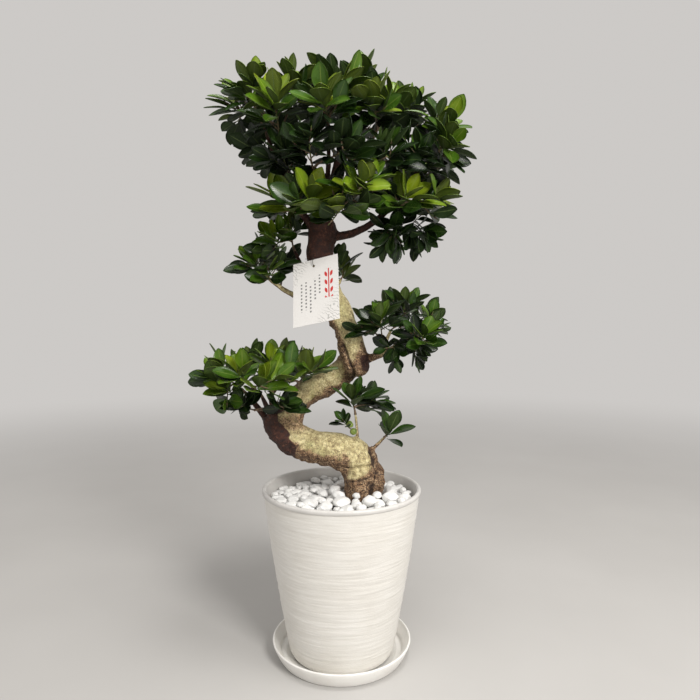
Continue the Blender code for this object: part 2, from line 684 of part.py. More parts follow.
def limb_place(name, share):
    """The centre, direction and radius of a limb at a share of its length."""
    path = tree_path(LIMBS[name], LIMB_SPAN, TRUNK_GIRTH)
    centres = [Vector(knot[:3]) for knot in path]
    steps = [(b - a).length for a, b in zip(centres, centres[1:])]
    target = share * sum(steps)
    for i, step in enumerate(steps):
        if target <= step or i == len(steps) - 1:
            t = min(target / step, 1)
            radius = path[i][3] + (path[i + 1][3] - path[i][3]) * t
            return centres[i].lerp(centres[i + 1], t), (centres[i + 1] - centres[i]).normalized(), radius
        target -= step


# ---------------------------------------------------------------- leafy sprays


class Leaf:
    """A blade: where it starts, the way it points, the way its face looks, and its size."""

    def __init__(self, base, along, face, length, width):
        self.base = base
        self.along = along
        self.face = face
        self.length = length
        self.width = width

    def section(self, share, half_width, half_thickness):
        """Four corners across the blade at a share of its length."""
        across = self.face.cross(self.along)
        bend = LEAF_BEND * share**2 * self.length
        centre = self.base + self.along * (share * self.length) - self.face * bend
        side = across * half_width
        rise = self.face * half_thickness
        return [centre - side - rise, centre + side - rise, centre + side + rise, centre - side + rise]

    def tip(self, half_width):
        """The two ends of the blunt tip's edge."""
        across = self.face.cross(self.along)
        centre = self.base + self.along * self.length - self.face * (LEAF_BEND * self.length)
        return [centre - across * half_width, centre + across * half_width]

    def hull(self, start, clearance):
        """A test body round the blade from a share of its length to its tip."""
        near = self.width * 0.5 * min(1, 0.12 + start) + clearance
        points = self.section(start, near, LEAF_THICKNESS / 2 + clearance)
        points += self.section(LEAF_WIDEST, self.width / 2 + clearance, LEAF_THICKNESS / 2 + clearance)
        points += self.section(1.03, self.width * LEAF_TIP + clearance, clearance)
        faces = [(0, 1, 5, 4), (1, 2, 6, 5), (2, 3, 7, 6), (3, 0, 4, 7)]
        faces += [tuple(k + 4 for k in face) for face in faces]
        return points, faces + [(3, 2, 1, 0), (8, 9, 10, 11)]


class Shell:
    """A closed skin grown from four-sided rings; any patch of it can carry a shoot or a leaf."""

    def __init__(self):
        self.points = []
        self.faces = []

    def add_ring(self, corners):
        """Four new points, as the indices that make a ring."""
        self.points += corners
        count = len(self.points)
        return tuple(range(count - 4, count))

    def sleeve(self, low, high):
        """The four patches between two rings."""
        patches = [(low[k], low[(k + 1) % 4], high[(k + 1) % 4], high[k]) for k in range(4)]
        self.faces += patches
        return patches

    def open_patch(self, patch):
        """Takes a patch out of the skin, so that its corners can root a shoot or a leaf."""
        self.faces.remove(patch)
        return patch

    def add_leaf(self, patch, leaf):
        """A blade from an opened patch to its widest section and its blunt tip."""
        root = self.open_patch(patch)
        widest = self.add_ring(leaf.section(LEAF_WIDEST, leaf.width / 2, LEAF_THICKNESS / 2))
        self.sleeve(root, widest)
        self.points += leaf.tip(leaf.width * LEAF_TIP)
        left = len(self.points) - 2
        right = left + 1
        a, b, c, d = widest
        self.faces += [(a, b, right, left), (c, d, left, right), (d, a, left), (b, c, right)]

    def add_fig(self, patch, base, along, face):
        """A small round fig on a stalk: a ball of four sides, as the leaves' skin is."""
        root = self.open_patch(patch)
        across = face.cross(along)
        for distance, width in FIG_RINGS:
            centre = base + along * (FIG_STALK + FIG_RADIUS * distance)
            side = across * FIG_RADIUS * width * 0.8
            rise = face * FIG_RADIUS * width * 0.8
            low, high = centre - rise, centre + rise
            ring = self.add_ring([low - side, low + side, high + side, high - side])
            self.sleeve(root, ring)
            root = ring
        self.faces.append(root)


def shoot_path(start, leave, tip, arrive, wander):
    """The centres of a cubic curve that leaves its start one way and arrives at its tip another."""
    collar = start
    start = start + leave * COLLAR
    reach = (tip - start).length
    first = start + leave * reach * SHOOT_EASE + wander
    second = tip - arrive * reach * SHOOT_EASE + wander
    count = max(2, math.ceil(reach / SHOOT_SPAN))
    centres = [collar]
    for k in range(count + 1):
        t = k / count
        centres.append(
            start * (1 - t) ** 3 + first * (3 * t * (1 - t) ** 2) + second * (3 * t**2 * (1 - t)) + tip * t**3
        )
    return centres


def shoot_rings(centres, across, radius):
    """The four corners of each ring along a shoot, with the frames that carry its leaves."""
    rings = []
    axes = frames(centres, across)
    for (along, side, rise), centre in zip(axes, centres):
        s = side * radius
        r = rise * radius
        rings.append([centre - s - r, centre + s - r, centre + s + r, centre - s + r])
    return rings, axes


def sleeve_test(rings, first):
    """The bare skin of a shoot's rings, from one ring on, as a test body."""
    points = [corner for ring in rings[first:] for corner in ring]
    faces = []
    for i in range(len(rings) - first - 1):
        for k in range(4):
            a = i * 4 + k
            b = i * 4 + (k + 1) % 4
            faces.append((a, b, b + 4, a + 4))
    return points, faces


def find_clear_shoot(crowd, own, start, leave, tip, lift, across, radius, chance, extra):
    """Tries gentle detours until a shoot meets nothing on its way to its tip."""
    for attempt in range(SHOOT_TRIES):
        play = SHOOT_PLAY * attempt
        wander = Vector([chance.uniform(-play, play) for _ in range(3)])
        goal = tip + Vector([chance.uniform(-play, play) for _ in range(3)])
        arrive = ((goal - start).normalized() * 0.7 + UP * lift).normalized()
        centres = shoot_path(start, leave, goal, arrive, wander)
        centres += [centres[-1] + arrive * WHORL_STEP * (k + 1) for k in range(extra)]
        rings, axes = shoot_rings(centres, across, radius)
        points, faces = sleeve_test(rings, 0)
        if crowd.is_clear(points, faces, own, only_others=True):
            return rings, axes, centres
    raise ValueError(f"no clear way for a shoot of {own}")


def whorl_leaf(patch_middle, along, outward, pitch, size, chance):
    """A leaf that leaves a shoot at a pitch above its square, its face turned to the shoot's tip."""
    direction = outward * math.cos(pitch) + along * math.sin(pitch)
    face = along * math.cos(pitch) - outward * math.sin(pitch)
    length = LEAF_LENGTH * size * chance.uniform(0.86, 1.08)
    width = LEAF_WIDTH * size * chance.uniform(0.85, 1.08)
    return Leaf(patch_middle, direction, face, length, width)


def dress_shoot(shell, crowd, own, rings, axes, centres, loops, whorls, size, chance):
    """Puts whorls of four leaves and a leaf at the tip on a shoot's last rings."""
    first = len(loops) - 1 - whorls
    for w in range(whorls):
        low, high = loops[first + w], loops[first + w + 1]
        along, side, rise = axes[first + w]
        outward = [-rise, side, rise, -side]
        swing = WHORL_SWING * (w % 2) + chance.uniform(-0.2, 0.2)
        pitch = WHORL_PITCH + WHORL_RISE * w
        for k in range(4):
            patch = (low[k], low[(k + 1) % 4], high[(k + 1) % 4], high[k])
            spot = sum((shell.points[i] for i in patch), Vector()) / 4
            for turn in LEAF_TURNS:
                way = Matrix.Rotation(swing + turn, 3, along) @ outward[k]
                leaf = whorl_leaf(spot, along, way, pitch + chance.uniform(-0.15, 0.2), size, chance)
                if place_leaf(shell, crowd, own, patch, leaf):
                    break
    along, side, rise = axes[-1]
    leaf = Leaf(centres[-1], along, rise, LEAF_LENGTH * size * TIP_LEAF[0], LEAF_WIDTH * size * TIP_LEAF[1])
    place_leaf(shell, crowd, own, loops[-1], leaf)


def place_leaf(shell, crowd, own, patch, leaf):
    """Adds a leaf if its blade is clear of everything and its stalk of every other piece."""
    outer = leaf.hull(0.30, LEAF_CLEARANCE)
    inner = leaf.hull(0.04, LEAF_CLEARANCE)
    if not crowd.is_clear(*outer) or not crowd.is_clear(*inner, own, only_others=True):
        return False
    shell.add_leaf(patch, leaf)
    crowd.add(*inner, own)
    return True


def grow_shoots(name, crowd):
    """A spray's bare shoots: a main one, and a side shoot for each of its other tips."""
    limb, share, lift, _, tips = SPRAYS[name]
    chance = random.Random(name)
    centre, along, radius = limb_place(limb, share)
    tips = [tree_point(*tip) for tip in tips]
    away = tips[0] - centre
    if share < 1:
        leave = (away - along * away.dot(along)).normalized()
        start = centre + leave * (radius + GAP)
    else:
        leave = along
        start = centre + along * GAP
    rings, axes, centres = find_clear_shoot(
        crowd, name, start, leave, tips[0], lift, leave.orthogonal(), TWIG_RADIUS, chance, MAIN_WHORLS
    )
    fork = max(1, (len(rings) - MAIN_WHORLS) // 2)
    if len(tips) > 1:
        step = axes[fork][0] * WHORL_STEP
        rings.insert(fork + 1, [corner + step for corner in rings[fork]])
        axes.insert(fork + 1, axes[fork])
        centres.insert(fork + 1, centres[fork] + step)
    shell = Shell()
    loops = [shell.add_ring(corners) for corners in rings]
    shell.faces.append(tuple(reversed(loops[0])))
    for low, high in zip(loops, loops[1:]):
        shell.sleeve(low, high)
    shell.faces.append(loops[-1])
    crowd.add(*sleeve_test(rings, 0), name)
    shoots = [(rings, axes, centres, loops)]
    for tip in tips[1:]:
        shoots.append(grow_side_shoot(shell, crowd, name, loops, axes, centres, fork, tip, lift, chance))
    return shell, shoots, chance


def dress_spray(name, shell, shoots, chance, crowd, green):
    """Puts the leaves, and the figs where there are any, on a spray's shoots."""
    size = SPRAYS[name][3]
    for number, shoot in enumerate(shoots):
        dress_shoot(shell, crowd, name, *shoot, SIDE_WHORLS if number else MAIN_WHORLS, size, chance)
    if name == FIG_SPRAY:
        add_figs(shell, crowd, name, shoots[0][3], shoots[0][1])
    solid(name, shell.points, shell.faces, green, math.radians(35))


def grow_side_shoot(shell, crowd, own, loops, axes, centres, fork, tip, lift, chance):
    """A shoot that leaves the patch of the main shoot that faces its tip."""
    along, side, rise = axes[fork]
    outward = [-rise, side, rise, -side]
    away = tip - centres[fork]
    k = max(range(4), key=lambda j: away.dot(outward[j]))
    low, high = loops[fork], loops[fork + 1]
    patch = (low[k], low[(k + 1) % 4], high[(k + 1) % 4], high[k])
    spot = sum((shell.points[i] for i in patch), Vector()) / 4
    across = along.cross(outward[k])
    rings, shoot_axes, shoot_centres = find_clear_shoot(
        crowd, own, spot, outward[k], tip, lift, across, TWIG_RADIUS * SIDE_TWIG, chance, SIDE_WHORLS
    )
    root = shell.open_patch(patch)
    shoot_loops = [root] + [shell.add_ring(corners) for corners in rings[1:]]
    for lower, upper in zip(shoot_loops, shoot_loops[1:]):
        shell.sleeve(lower, upper)
    shell.faces.append(shoot_loops[-1])
    crowd.add(*sleeve_test(rings, 0), own)
    return rings, shoot_axes, shoot_centres, shoot_loops


def add_figs(shell, crowd, own, loops, axes):
    """Small round figs on the bare stretches of a shoot, where there is room for them."""
    figs = 0
    for ring in range(1, len(loops) - 1):
        along, side, rise = axes[ring]
        outward = [-rise, side, rise, -side]
        low, high = loops[ring], loops[ring + 1]
        for k in range(4):
            patch = (low[k], low[(k + 1) % 4], high[(k + 1) % 4], high[k])
            if figs == FIG_COUNT or patch not in shell.faces:
                continue
            spot = sum((shell.points[i] for i in patch), Vector()) / 4
            points = [spot + outward[k] * FIG_STALK * 0.5 + corner * FIG_RADIUS for corner in CUBE]
            points = [p + outward[k] * (FIG_RADIUS + FIG_STALK * 0.5) for p in points]
            if crowd.is_clear(points, CUBE_FACES):
                shell.add_fig(patch, spot, outward[k], along)
                crowd.add(points, CUBE_FACES, own)
                figs += 1


# ---------------------------------------------------------------- card and tie


def card_frame():
    """The card's turn, and the place of its hole, just in front of the trunk."""
    knots = tree_path(TRUNK_UPPER, 8, TRUNK_GIRTH)
    hang_z = RIM_Z + CARD_HANG * SCALE
    x, y, _, radius = min(knots, key=lambda knot: abs(knot[2] - hang_z))
    hole = Vector((x - CARD_SIDESTEP, y - radius - CARD_STANDOFF, hang_z))
    turn = Matrix.Rotation(CARD_TURN, 3, "Z") @ Matrix.Rotation(CARD_LEAN, 3, "X")
    return turn @ Matrix.Rotation(CARD_ROLL, 3, "Y"), hole


def make_card(crowd):
    """A thin card, turned and leaning, with a punched hole at its top."""
    turn, hole = card_frame()
    below = CARD_LENGTH - CARD_HOLE_INSET
    left = -CARD_WIDTH / 2 + CARD_SHIFT
    corners = [(x, y, z) for z in (-below, CARD_HOLE_INSET) for y in (-CARD_THICKNESS / 2, CARD_THICKNESS / 2)
               for x in (left, left + CARD_WIDTH)]
    faces = [(0, 1, 5, 4), (3, 2, 6, 7), (2, 0, 4, 6), (1, 3, 7, 5), (2, 3, 1, 0), (4, 5, 7, 6)]
    points = [turn @ Vector(corner) + hole for corner in corners]
    crowd.add(points, faces, "name_card")
    card = solid("name_card", points, faces, finish("white_card", (0.85, 0.84, 0.82), 0.6))
    place = Matrix.Translation(hole) @ turn.to_4x4() @ Matrix.Rotation(TURN / 4, 4, "X")
    punch = cone_object("card_punch", CARD_HOLE_RADIUS, CARD_THICKNESS * 6, 16, [place])
    combine(card, punch, "DIFFERENCE")
    return card


def tangent_angle(axis, anchor, radius, side):
    """Where a straight wire from an anchor meets a circle about the trunk, as an angle."""
    away = anchor - axis
    distance = max(math.hypot(away.x, away.y), radius * 1.01)
    return math.atan2(away.y, away.x) + side * math.acos(radius / distance)


def make_tie(crowd):
    """A thin wire round the trunk, through the card's hole and back over its top edge."""
    turn, hole = card_frame()
    front = turn @ Vector((0, -1, 0))
    card_up = turn @ UP
    knots = tree_path(TRUNK_UPPER, 8, TRUNK_GIRTH)
    loop_z = hole.z + TIE_RISE
    x, y, z, radius = min(knots, key=lambda knot: abs(knot[2] - loop_z))
    round_trunk = radius + TIE_RADIUS + TIE_SLACK
    ahead = hole + front * TIE_STANDOFF
    over = card_up * (CARD_HOLE_INSET + TIE_STANDOFF)
    up_step = card_up * TIE_STANDOFF
    path = [hole - front * TIE_BEHIND, hole + front * CARD_THICKNESS / 2, ahead + up_step]
    path += [ahead + over - up_step, hole + over, hole + over * 0.95 - front * TIE_BEHIND * 0.8]
    axis = Vector((x, y, z))
    right = tangent_angle(axis, path[-1], round_trunk, 1)
    left = tangent_angle(axis, path[0], round_trunk, -1) + TURN
    for k in range(11):
        angle = right + (left - right) * k / 10
        spoke = Vector((math.cos(angle), math.sin(angle), 0))
        path.append(axis + spoke * round_trunk + UP * TIE_TILT * math.sin(angle))
    centres = [Vector(p) for p in smooth_path([tuple(p) for p in path + path[:1]], 2)][:-1]
    sides = 4
    points = []
    for (_, across, upright), centre in zip(frames(centres, closed=True), centres):
        for k in range(sides):
            angle = TURN * k / sides
            points.append(centre + (across * math.cos(angle) + upright * math.sin(angle)) * TIE_RADIUS)
    faces = []
    for i in range(len(centres)):
        follower = (i + 1) % len(centres)
        shift = 0
        if follower == 0:
            shift = min(range(sides), key=lambda j: (points[i * sides] - points[j]).length)
        for k in range(sides):
            ring = [i * sides + k, i * sides + (k + 1) % sides]
            ring += [follower * sides + (k + 1 + shift) % sides, follower * sides + (k + shift) % sides]
            faces.append(tuple(ring))
    crowd.add(points, faces, "card_tie")
    return solid("card_tie", points, faces, finish("tie_wire", (0.10, 0.08, 0.07), 0.5), math.pi)


def main():
    """The holder first, then the woody body, and the leaves where there is room."""
    clear_scene()
    crowd = Crowd()
    make_saucer()
    make_pot(crowd)
    make_trunk(crowd)
    make_soil()
    make_pebbles(crowd)
    make_card(crowd)
    make_tie(crowd)
    green = finish("ficus_leaf", (0.06, 0.20, 0.03), 0.35)
    bare = {name: grow_shoots(name, crowd) for name in SPRAYS}
    for name, (shell, shoots, chance) in bare.items():
        dress_spray(name, shell, shoots, chance, crowd, green)


main()
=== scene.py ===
"""The potted ficus as it looks: bark, leaves, stones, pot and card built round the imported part.

Metres, +Z up, front towards -Y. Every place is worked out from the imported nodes: the pot's rim
gives the height that the tree's points are drawn from, and each leafy spray starts where its
node meets the trunk.
"""

import math
import random

import bmesh
import bpy
import numpy as np
from mathutils import Matrix, Vector, noise
from mathutils.bvhtree import BVHTree


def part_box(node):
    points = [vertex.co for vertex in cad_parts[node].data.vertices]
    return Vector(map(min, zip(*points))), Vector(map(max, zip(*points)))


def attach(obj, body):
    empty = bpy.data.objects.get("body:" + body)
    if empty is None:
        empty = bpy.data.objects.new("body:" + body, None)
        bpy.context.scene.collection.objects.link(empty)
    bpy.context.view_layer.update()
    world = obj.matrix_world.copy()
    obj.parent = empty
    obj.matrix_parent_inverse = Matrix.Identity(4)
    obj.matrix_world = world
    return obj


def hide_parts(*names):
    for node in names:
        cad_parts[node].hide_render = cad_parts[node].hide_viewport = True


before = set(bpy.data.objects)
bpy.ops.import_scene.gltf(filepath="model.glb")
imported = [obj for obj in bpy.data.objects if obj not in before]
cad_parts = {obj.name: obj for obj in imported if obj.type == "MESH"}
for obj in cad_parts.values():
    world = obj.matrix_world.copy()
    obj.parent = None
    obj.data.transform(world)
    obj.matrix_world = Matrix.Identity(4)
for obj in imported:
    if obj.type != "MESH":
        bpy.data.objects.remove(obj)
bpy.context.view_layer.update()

TURN = 2 * math.pi
UP = Vector((0, 0, 1))
GOLDEN = TURN * 0.381966  # the angle from one leaf of a spiral to the next
BRIGHT_WAY = Vector((0.15, -0.60, 0.78))  # where the light comes from, which leaves turn to
RIM_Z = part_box("pot")[1].z
RIM_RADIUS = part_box("pot")[1].x
FOOT_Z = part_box("pot")[0].z
SOIL_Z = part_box("soil")[1].z

# Pot, as the part's source has it
POT_FOOT_RADIUS = 0.098
POT_WALL = 0.0065
POT_BULGE = 0.0025
POT_FOOT_ROUND = 0.008
LIP_HEIGHT = 0.009
LIP_WIDTH = 0.008
LIP_PROUD = 0.003
DRAIN_RADIUS = 0.006
DRAIN_CIRCLE = 0.050
DRAIN_COUNT = 5
SHOULDER = RIM_Z - FOOT_Z - LIP_HEIGHT  # where the lip starts, above the pot's foot

# Pot, as it looks
POT_SIDES = 220
POT_LEVELS = 210  # outside, fine enough for the ridges
POT_INNER_LEVELS = 24
POT_CORNER = 0.0062  # the round inside, between wall and floor
RIDGE_DEPTH = 0.0007

# Saucer, as the part's source has it
SAUCER_SPREAD = 0.012
SAUCER_WALL = 0.004
SAUCER_FLOOR = 0.0047
SAUCER_STEP = 0.0015
SAUCER_STEP_CLEARANCE = 0.006

# Saucer, as it looks
SAUCER_SIDES = 144
SAUCER_ROUND = 0.004  # outside, under the wall
SAUCER_CORNER = 0.0045  # inside, between wall and floor
SAUCER_BOWS = (0.0012, 0.0010)  # how far the wall bulges, outside and inside

# Loose stones: how many, smallest and largest size, and how many places each one tries
STONE_LOADS = [
    (110, 0.026, 0.037, 120), (60, 0.018, 0.026, 80), (50, 0.024, 0.034, 80), (70, 0.012, 0.018, 70),
]
STONE_CHIPS = 9  # flats on each stone
STONE_SEED = 5
STONE_GAP = 0.0006  # from a large stone to the loose ones on it
STONE_SETTLE = 0.0004  # how far a loose stone may settle into the next
BED_CELL = 0.0013
BED_MARGIN = 0.001  # from the pot's wall
BED_CLOSED = 9.0  # the height of the bed where no stone may lie
BARK_CLEARANCE = 0.0022

# Trunk
BARK_CELL = 0.0021  # the size of the remesh
THINNEST = 0.002  # taken where no far side of the wood is found
CREASE_SHADE_DEPTH = 0.0022  # a crease this deep gets the full painted shade

# Card
CARD_BEVEL = 0.00025
CARD_SKIN = 0.0002  # points no deeper than this are on the printed front

# Camera, fitted to the photograph, and the pale room round the object
CAMERA_PLACE = (0.016, -1.1075, 0.6385)
CAMERA_TILT = 0.0537  # downwards
CAMERA_LENS = 30.34
ROOM_COLOUR = (0.80, 0.775, 0.75)
ROOM_STRENGTH = 0.76

# Leaves
LEAF_LENGTH = 0.050
LEAF_WIDTH = 0.0272
LEAF_THICKNESS = 0.0006
LEAF_OUTLINE = [  # share of the length, half of the width as a share of the widest
    (0.00, 0.075), (0.07, 0.085), (0.14, 0.27), (0.25, 0.57), (0.38, 0.83), (0.50, 0.97),
    (0.62, 1.00), (0.75, 0.88), (0.87, 0.61), (0.95, 0.31), (1.00, 0.05),
]
LEAF_LANES = (-1.0, -0.5, 0.0, 0.5, 1.0)
LEAF_TRIES = 10  # places that a leaf tries until it is clear of the others
MIDRIB_DEPTH = 0.00035
VEIN_COUNT = 15.0
VEIN_SLANT = 4.0  # how many veins the slant passes from the midrib to the margin
HULL_SHARES = (0.16, 0.35, 0.55, 0.78, 1.0)  # rows of a leaf's coarse copy, along its length
HULL_LANES = (-1, 0, 1)
HULL_MARGIN = 0.0002

# Rosettes of leaves
ROSETTE_DEPTH = 0.020  # the stretch of shoot that carries the leaves
LOW_PITCH = 8  # degrees from square to the shoot, of the lowest leaf of a level shoot
HIGH_PITCH = 76  # of the last leaf
LEAF_OFFSET = 0.0012  # from the shoot's middle to a leaf's start
BUD_LENGTH = 0.013

# Shoots
SHOOT_STEPS = 14
SHOOT_SIDES = 8
SHOOT_RADIUS = 0.0021
SIDE_STEPS = 5
SIDE_SIDES = 6
SIDE_RADIUS = 0.0013
SIDE_LENGTHS = (0.020, 0.034)
FIRST_SIDE = 0.88  # where the outermost side shoot leaves, as a share of the shoot
FORK = 0.42  # where a spray's later shoots leave its first one
ROOT_DEPTH = 0.003  # how far a spray starts inside the wood
TIP_LEAVES = 8
BLADE_TOP, BLADE_UNDER, TWIG = range(3)  # a spray's material slots

# Each leafy spray: leaf size, how much its shoots turn up, how young and bright its leaves
# are (low for the sprays inside and under the crown as painted shade, high for the top ones as
# painted light), how many side shoots each shoot has, and its tips (x, y, height above the rim)
SPRAYS = {
    "crown_01": (1.00, 0.9, 0.81, 5, [(-0.164, -0.030, 0.734), (-0.192, 0.004, 0.710)]),
    "crown_02": (1.05, 0.9, 0.86, 5, [(-0.109, -0.100, 0.688), (-0.079, -0.050, 0.727)]),
    "crown_03": (1.05, 0.9, 0.86, 5, [(-0.025, -0.110, 0.684), (0.000, -0.055, 0.727)]),
    "crown_04": (1.09, 1.2, 0.86, 5, [(0.037, 0.020, 0.754), (-0.030, 0.040, 0.745)]),
    "crown_05": (1.05, 0.9, 0.81, 5, [(0.088, -0.020, 0.707), (0.057, -0.080, 0.690)]),
    "crown_06": (1.00, 0.9, 0.76, 5, [(0.186, 0.004, 0.672), (0.120, 0.050, 0.715)]),
    "crown_07": (1.00, 0.5, 0.61, 5, [(0.192, -0.036, 0.632), (0.169, 0.040, 0.602)]),
    "crown_08": (1.00, 0.9, 0.66, 5, [(-0.143, 0.090, 0.725), (-0.105, 0.110, 0.640)]),
    "crown_09": (1.00, 0.9, 0.71, 5, [(-0.024, 0.105, 0.740), (0.087, 0.110, 0.715)]),
    "crown_10": (0.96, 0.6, 0.16, 5, [(-0.101, -0.070, 0.609), (-0.149, 0.020, 0.655)]),
    "crown_11": (0.96, 0.6, 0.19, 5, [(-0.054, -0.115, 0.618), (0.015, -0.120, 0.605)]),
    "crown_12": (0.96, 0.6, 0.23, 5, [(0.135, -0.050, 0.613), (0.070, -0.085, 0.606)]),
    "crown_13": (1.09, 0.5, 0.86, 5, [(-0.090, -0.060, 0.521), (-0.050, -0.105, 0.524)]),
    "crown_14": (1.05, 0.5, 0.88, 5, [(0.036, -0.125, 0.544), (-0.006, -0.125, 0.505)]),
    "crown_15": (1.05, 0.4, 0.81, 5, [(0.115, -0.070, 0.531), (0.168, -0.030, 0.534)]),
    "crown_16": (0.83, -0.7, 0.16, 5, [(0.150, -0.010, 0.474), (0.092, -0.020, 0.470)]),
    "crown_17": (0.96, 0.3, 0.41, 5, [(0.006, 0.125, 0.570), (0.110, 0.110, 0.600)]),
    "left_mid_01": (0.94, 0.8, 0.64, 3, [(-0.096, 0.020, 0.492), (-0.122, -0.020, 0.464)]),
    "left_mid_02": (0.88, 0.6, 0.59, 3, [(-0.164, 0.000, 0.424), (-0.148, 0.035, 0.430)]),
    "left_mid_03": (0.88, 0.7, 0.54, 3, [(-0.130, 0.080, 0.432), (-0.134, -0.014, 0.408)]),
    "left_mid_04": (0.88, 0.6, 0.64, 2, [(0.004, 0.058, 0.408)]),
    "right_01": (0.81, 0.8, 0.41, 3, [(0.069, -0.060, 0.318), (0.052, -0.034, 0.302)]),
    "right_02": (0.84, 0.9, 0.51, 3, [(0.117, 0.000, 0.342), (0.148, -0.052, 0.290)]),
    "right_03": (0.84, 0.6, 0.56, 3, [(0.166, 0.000, 0.312), (0.146, 0.040, 0.318)]),
    "right_04": (0.68, -0.6, 0.15, 3, [(0.096, -0.044, 0.262), (0.140, -0.012, 0.262)]),
    "right_05": (0.81, 0.8, 0.41, 3, [(0.116, 0.084, 0.312), (0.082, 0.058, 0.330)]),
    "lower_left_01": (0.97, 0.6, 0.62, 2, [(-0.220, -0.030, 0.224), (-0.208, -0.050, 0.194)]),
    "lower_left_02": (1.02, 0.8, 0.72, 2, [(-0.178, -0.080, 0.222), (-0.140, -0.100, 0.208)]),
    "lower_left_03": (0.99, 0.9, 0.72, 2, [(-0.133, 0.004, 0.236), (-0.176, 0.046, 0.222)]),
    "lower_left_04": (1.02, 0.8, 0.72, 2, [(-0.064, -0.040, 0.222), (-0.100, -0.080, 0.216)]),
    "lower_left_05": (0.92, 0.6, 0.57, 2, [(-0.136, 0.082, 0.205), (-0.090, 0.078, 0.222)]),
    "lower_left_06": (0.82, 0.2, 0.15, 2, [(-0.182, -0.056, 0.164), (-0.100, -0.088, 0.170)]),
    "sprout_01": (0.90, 0.8, 0.35, 2, [(0.020, -0.014, 0.170), (0.054, 0.000, 0.162)]),
    "sprout_02": (0.92, 0.5, 0.35, 0, [(0.091, -0.010, 0.110)]),
    "sprout_03": (0.55, 0.5, 0.20, 0, [(0.004, -0.020, 0.128)]),
}
# The lowest slope of a leaf in the sprays whose leaves hang, or are held up, unlike the rest
DROOP = {"crown_16": -1.0, "right_04": -1.0, "crown_13": -0.05, "crown_14": -0.05, "crown_15": -0.10}
FIG_SPRAY = "sprout_03"
FIG_RADIUS = 0.0066
FIG_PLACES = ((0.30, 0.4), (0.48, 3.2), (0.62, 5.0))  # share of the shoot, angle round it
FIG_STALK = 0.0035  # from the shoot's middle to the fig's skin


# ---------------------------------------------------------------- mesh helpers


def add_object(name, data):
    """An object of a mesh, a light or a camera, in the scene."""
    thing = bpy.data.objects.new(name, data)
    bpy.context.scene.collection.objects.link(thing)
    return thing


def mesh_object(name, points, faces, materials):
    """A smooth-shaded piece that rides on the part's body."""
    mesh = bpy.data.meshes.new(name)
    mesh.from_pydata([tuple(point) for point in points], [], faces)
    mesh.validate()
    for material in materials:
        mesh.materials.append(material)
    mesh.shade_smooth()
    thing = add_object(name, mesh)
    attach(thing, "root")
    return thing


def mesh_of(skin, name):
    """A mesh of what a bmesh holds; the bmesh is freed."""
    mesh = bpy.data.meshes.new(name)
    skin.to_mesh(mesh)
    skin.free()
    return mesh


def recalculate(thing):
    """Turns all of a mesh's faces outwards."""
    skin = bmesh.new()
    skin.from_mesh(thing.data)
    bmesh.ops.recalc_face_normals(skin, faces=skin.faces)
    skin.to_mesh(thing.data)
    skin.free()


def node_mesh(node):
    """A CAD node's welded vertices and triangles."""
    skin = bmesh.new()
    skin.from_mesh(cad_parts[node].data)
    bmesh.ops.remove_doubles(skin, verts=skin.verts, dist=1e-5)
    points = [vert.co.copy() for vert in skin.verts]
    faces = [tuple(vert.index for vert in face.verts) for face in skin.faces]
    skin.free()
    return points, faces


def as_array(points):
    return np.array([tuple(point) for point in points])


def tree_of(points, faces):
    """A tree to find the nearest, hit or overlapping faces with."""
    return BVHTree.FromPolygons([Vector(point) for point in points], faces)


def apply_modifiers(thing):
    """Replaces an object's mesh by what its modifiers make of it."""
    depsgraph = bpy.context.evaluated_depsgraph_get()
    made = bpy.data.meshes.new_from_object(thing.evaluated_get(depsgraph))
    thing.modifiers.clear()
    thing.data = made
    made.shade_smooth()


def set_attribute(thing, name, values, kind="FLOAT"):
    """Stores a number, or three, for each vertex, for a material to read."""
    attribute = thing.data.attributes.new(name, kind, "POINT")
    field = "value" if kind == "FLOAT" else "vector"
    attribute.data.foreach_set(field, np.asarray(values, np.float32).ravel())


def read_vectors(items, field):
    """Three numbers for each vertex, as rows."""
    flat = np.zeros(len(items) * 3, np.float32)
    items.foreach_get(field, flat)
    return flat.reshape(-1, 3).astype(float)


def read_points(mesh):
    return read_vectors(mesh.vertices, "co")


def read_normals(mesh):
    return read_vectors(mesh.vertex_normals, "vector")


def write_points(mesh, points):
    mesh.vertices.foreach_set("co", points.astype(np.float32).ravel())
    mesh.update()


def step(value, low, high):
    """0 below low, 1 above high, and smooth between them."""
    t = np.clip((np.asarray(value, float) - low) / (high - low), 0, 1)
    return t * t * (3 - 2 * t)


def lumps(points, scale, seed=0.0):
    """Smooth noise from -1 to 1 at each point; scale is points to the metre, or three of them."""
    scale = np.broadcast_to(np.asarray(scale, float), (3,))
    shift = Vector((seed, seed * 1.7, -seed))
    return np.array([noise.noise(Vector(point * scale) + shift) for point in points])


def lathe(profile, sides):
    """Points and faces of a profile of (radius, z) turned about Z; its ends lie on the axis."""
    points = []
    rings = []
    for radius, z in profile:
        if radius == 0:
            rings.append([len(points)] * sides)
            points.append((0, 0, z))
            continue
        rings.append(list(range(len(points), len(points) + sides)))
        for k in range(sides):
            angle = TURN * k / sides
            points.append((radius * math.cos(angle), radius * math.sin(angle), z))
    faces = []
    for low, high in zip(rings, rings[1:]):
        for k in range(sides):
            corners = (low[k], low[(k + 1) % sides], high[(k + 1) % sides], high[k])
            face = tuple(dict.fromkeys(corners))
            if len(face) > 2:
                faces.append(face)
    return points, faces


def arc(centre_r, centre_z, radius, start, end, steps):
    """Points of (radius, z) on an arc, with its angles in degrees from the +R direction."""
    angles = [math.radians(start + (end - start) * k / steps) for k in range(steps + 1)]
    return [(centre_r + radius * math.cos(a), centre_z + radius * math.sin(a)) for a in angles]


# ---------------------------------------------------------------- material helpers


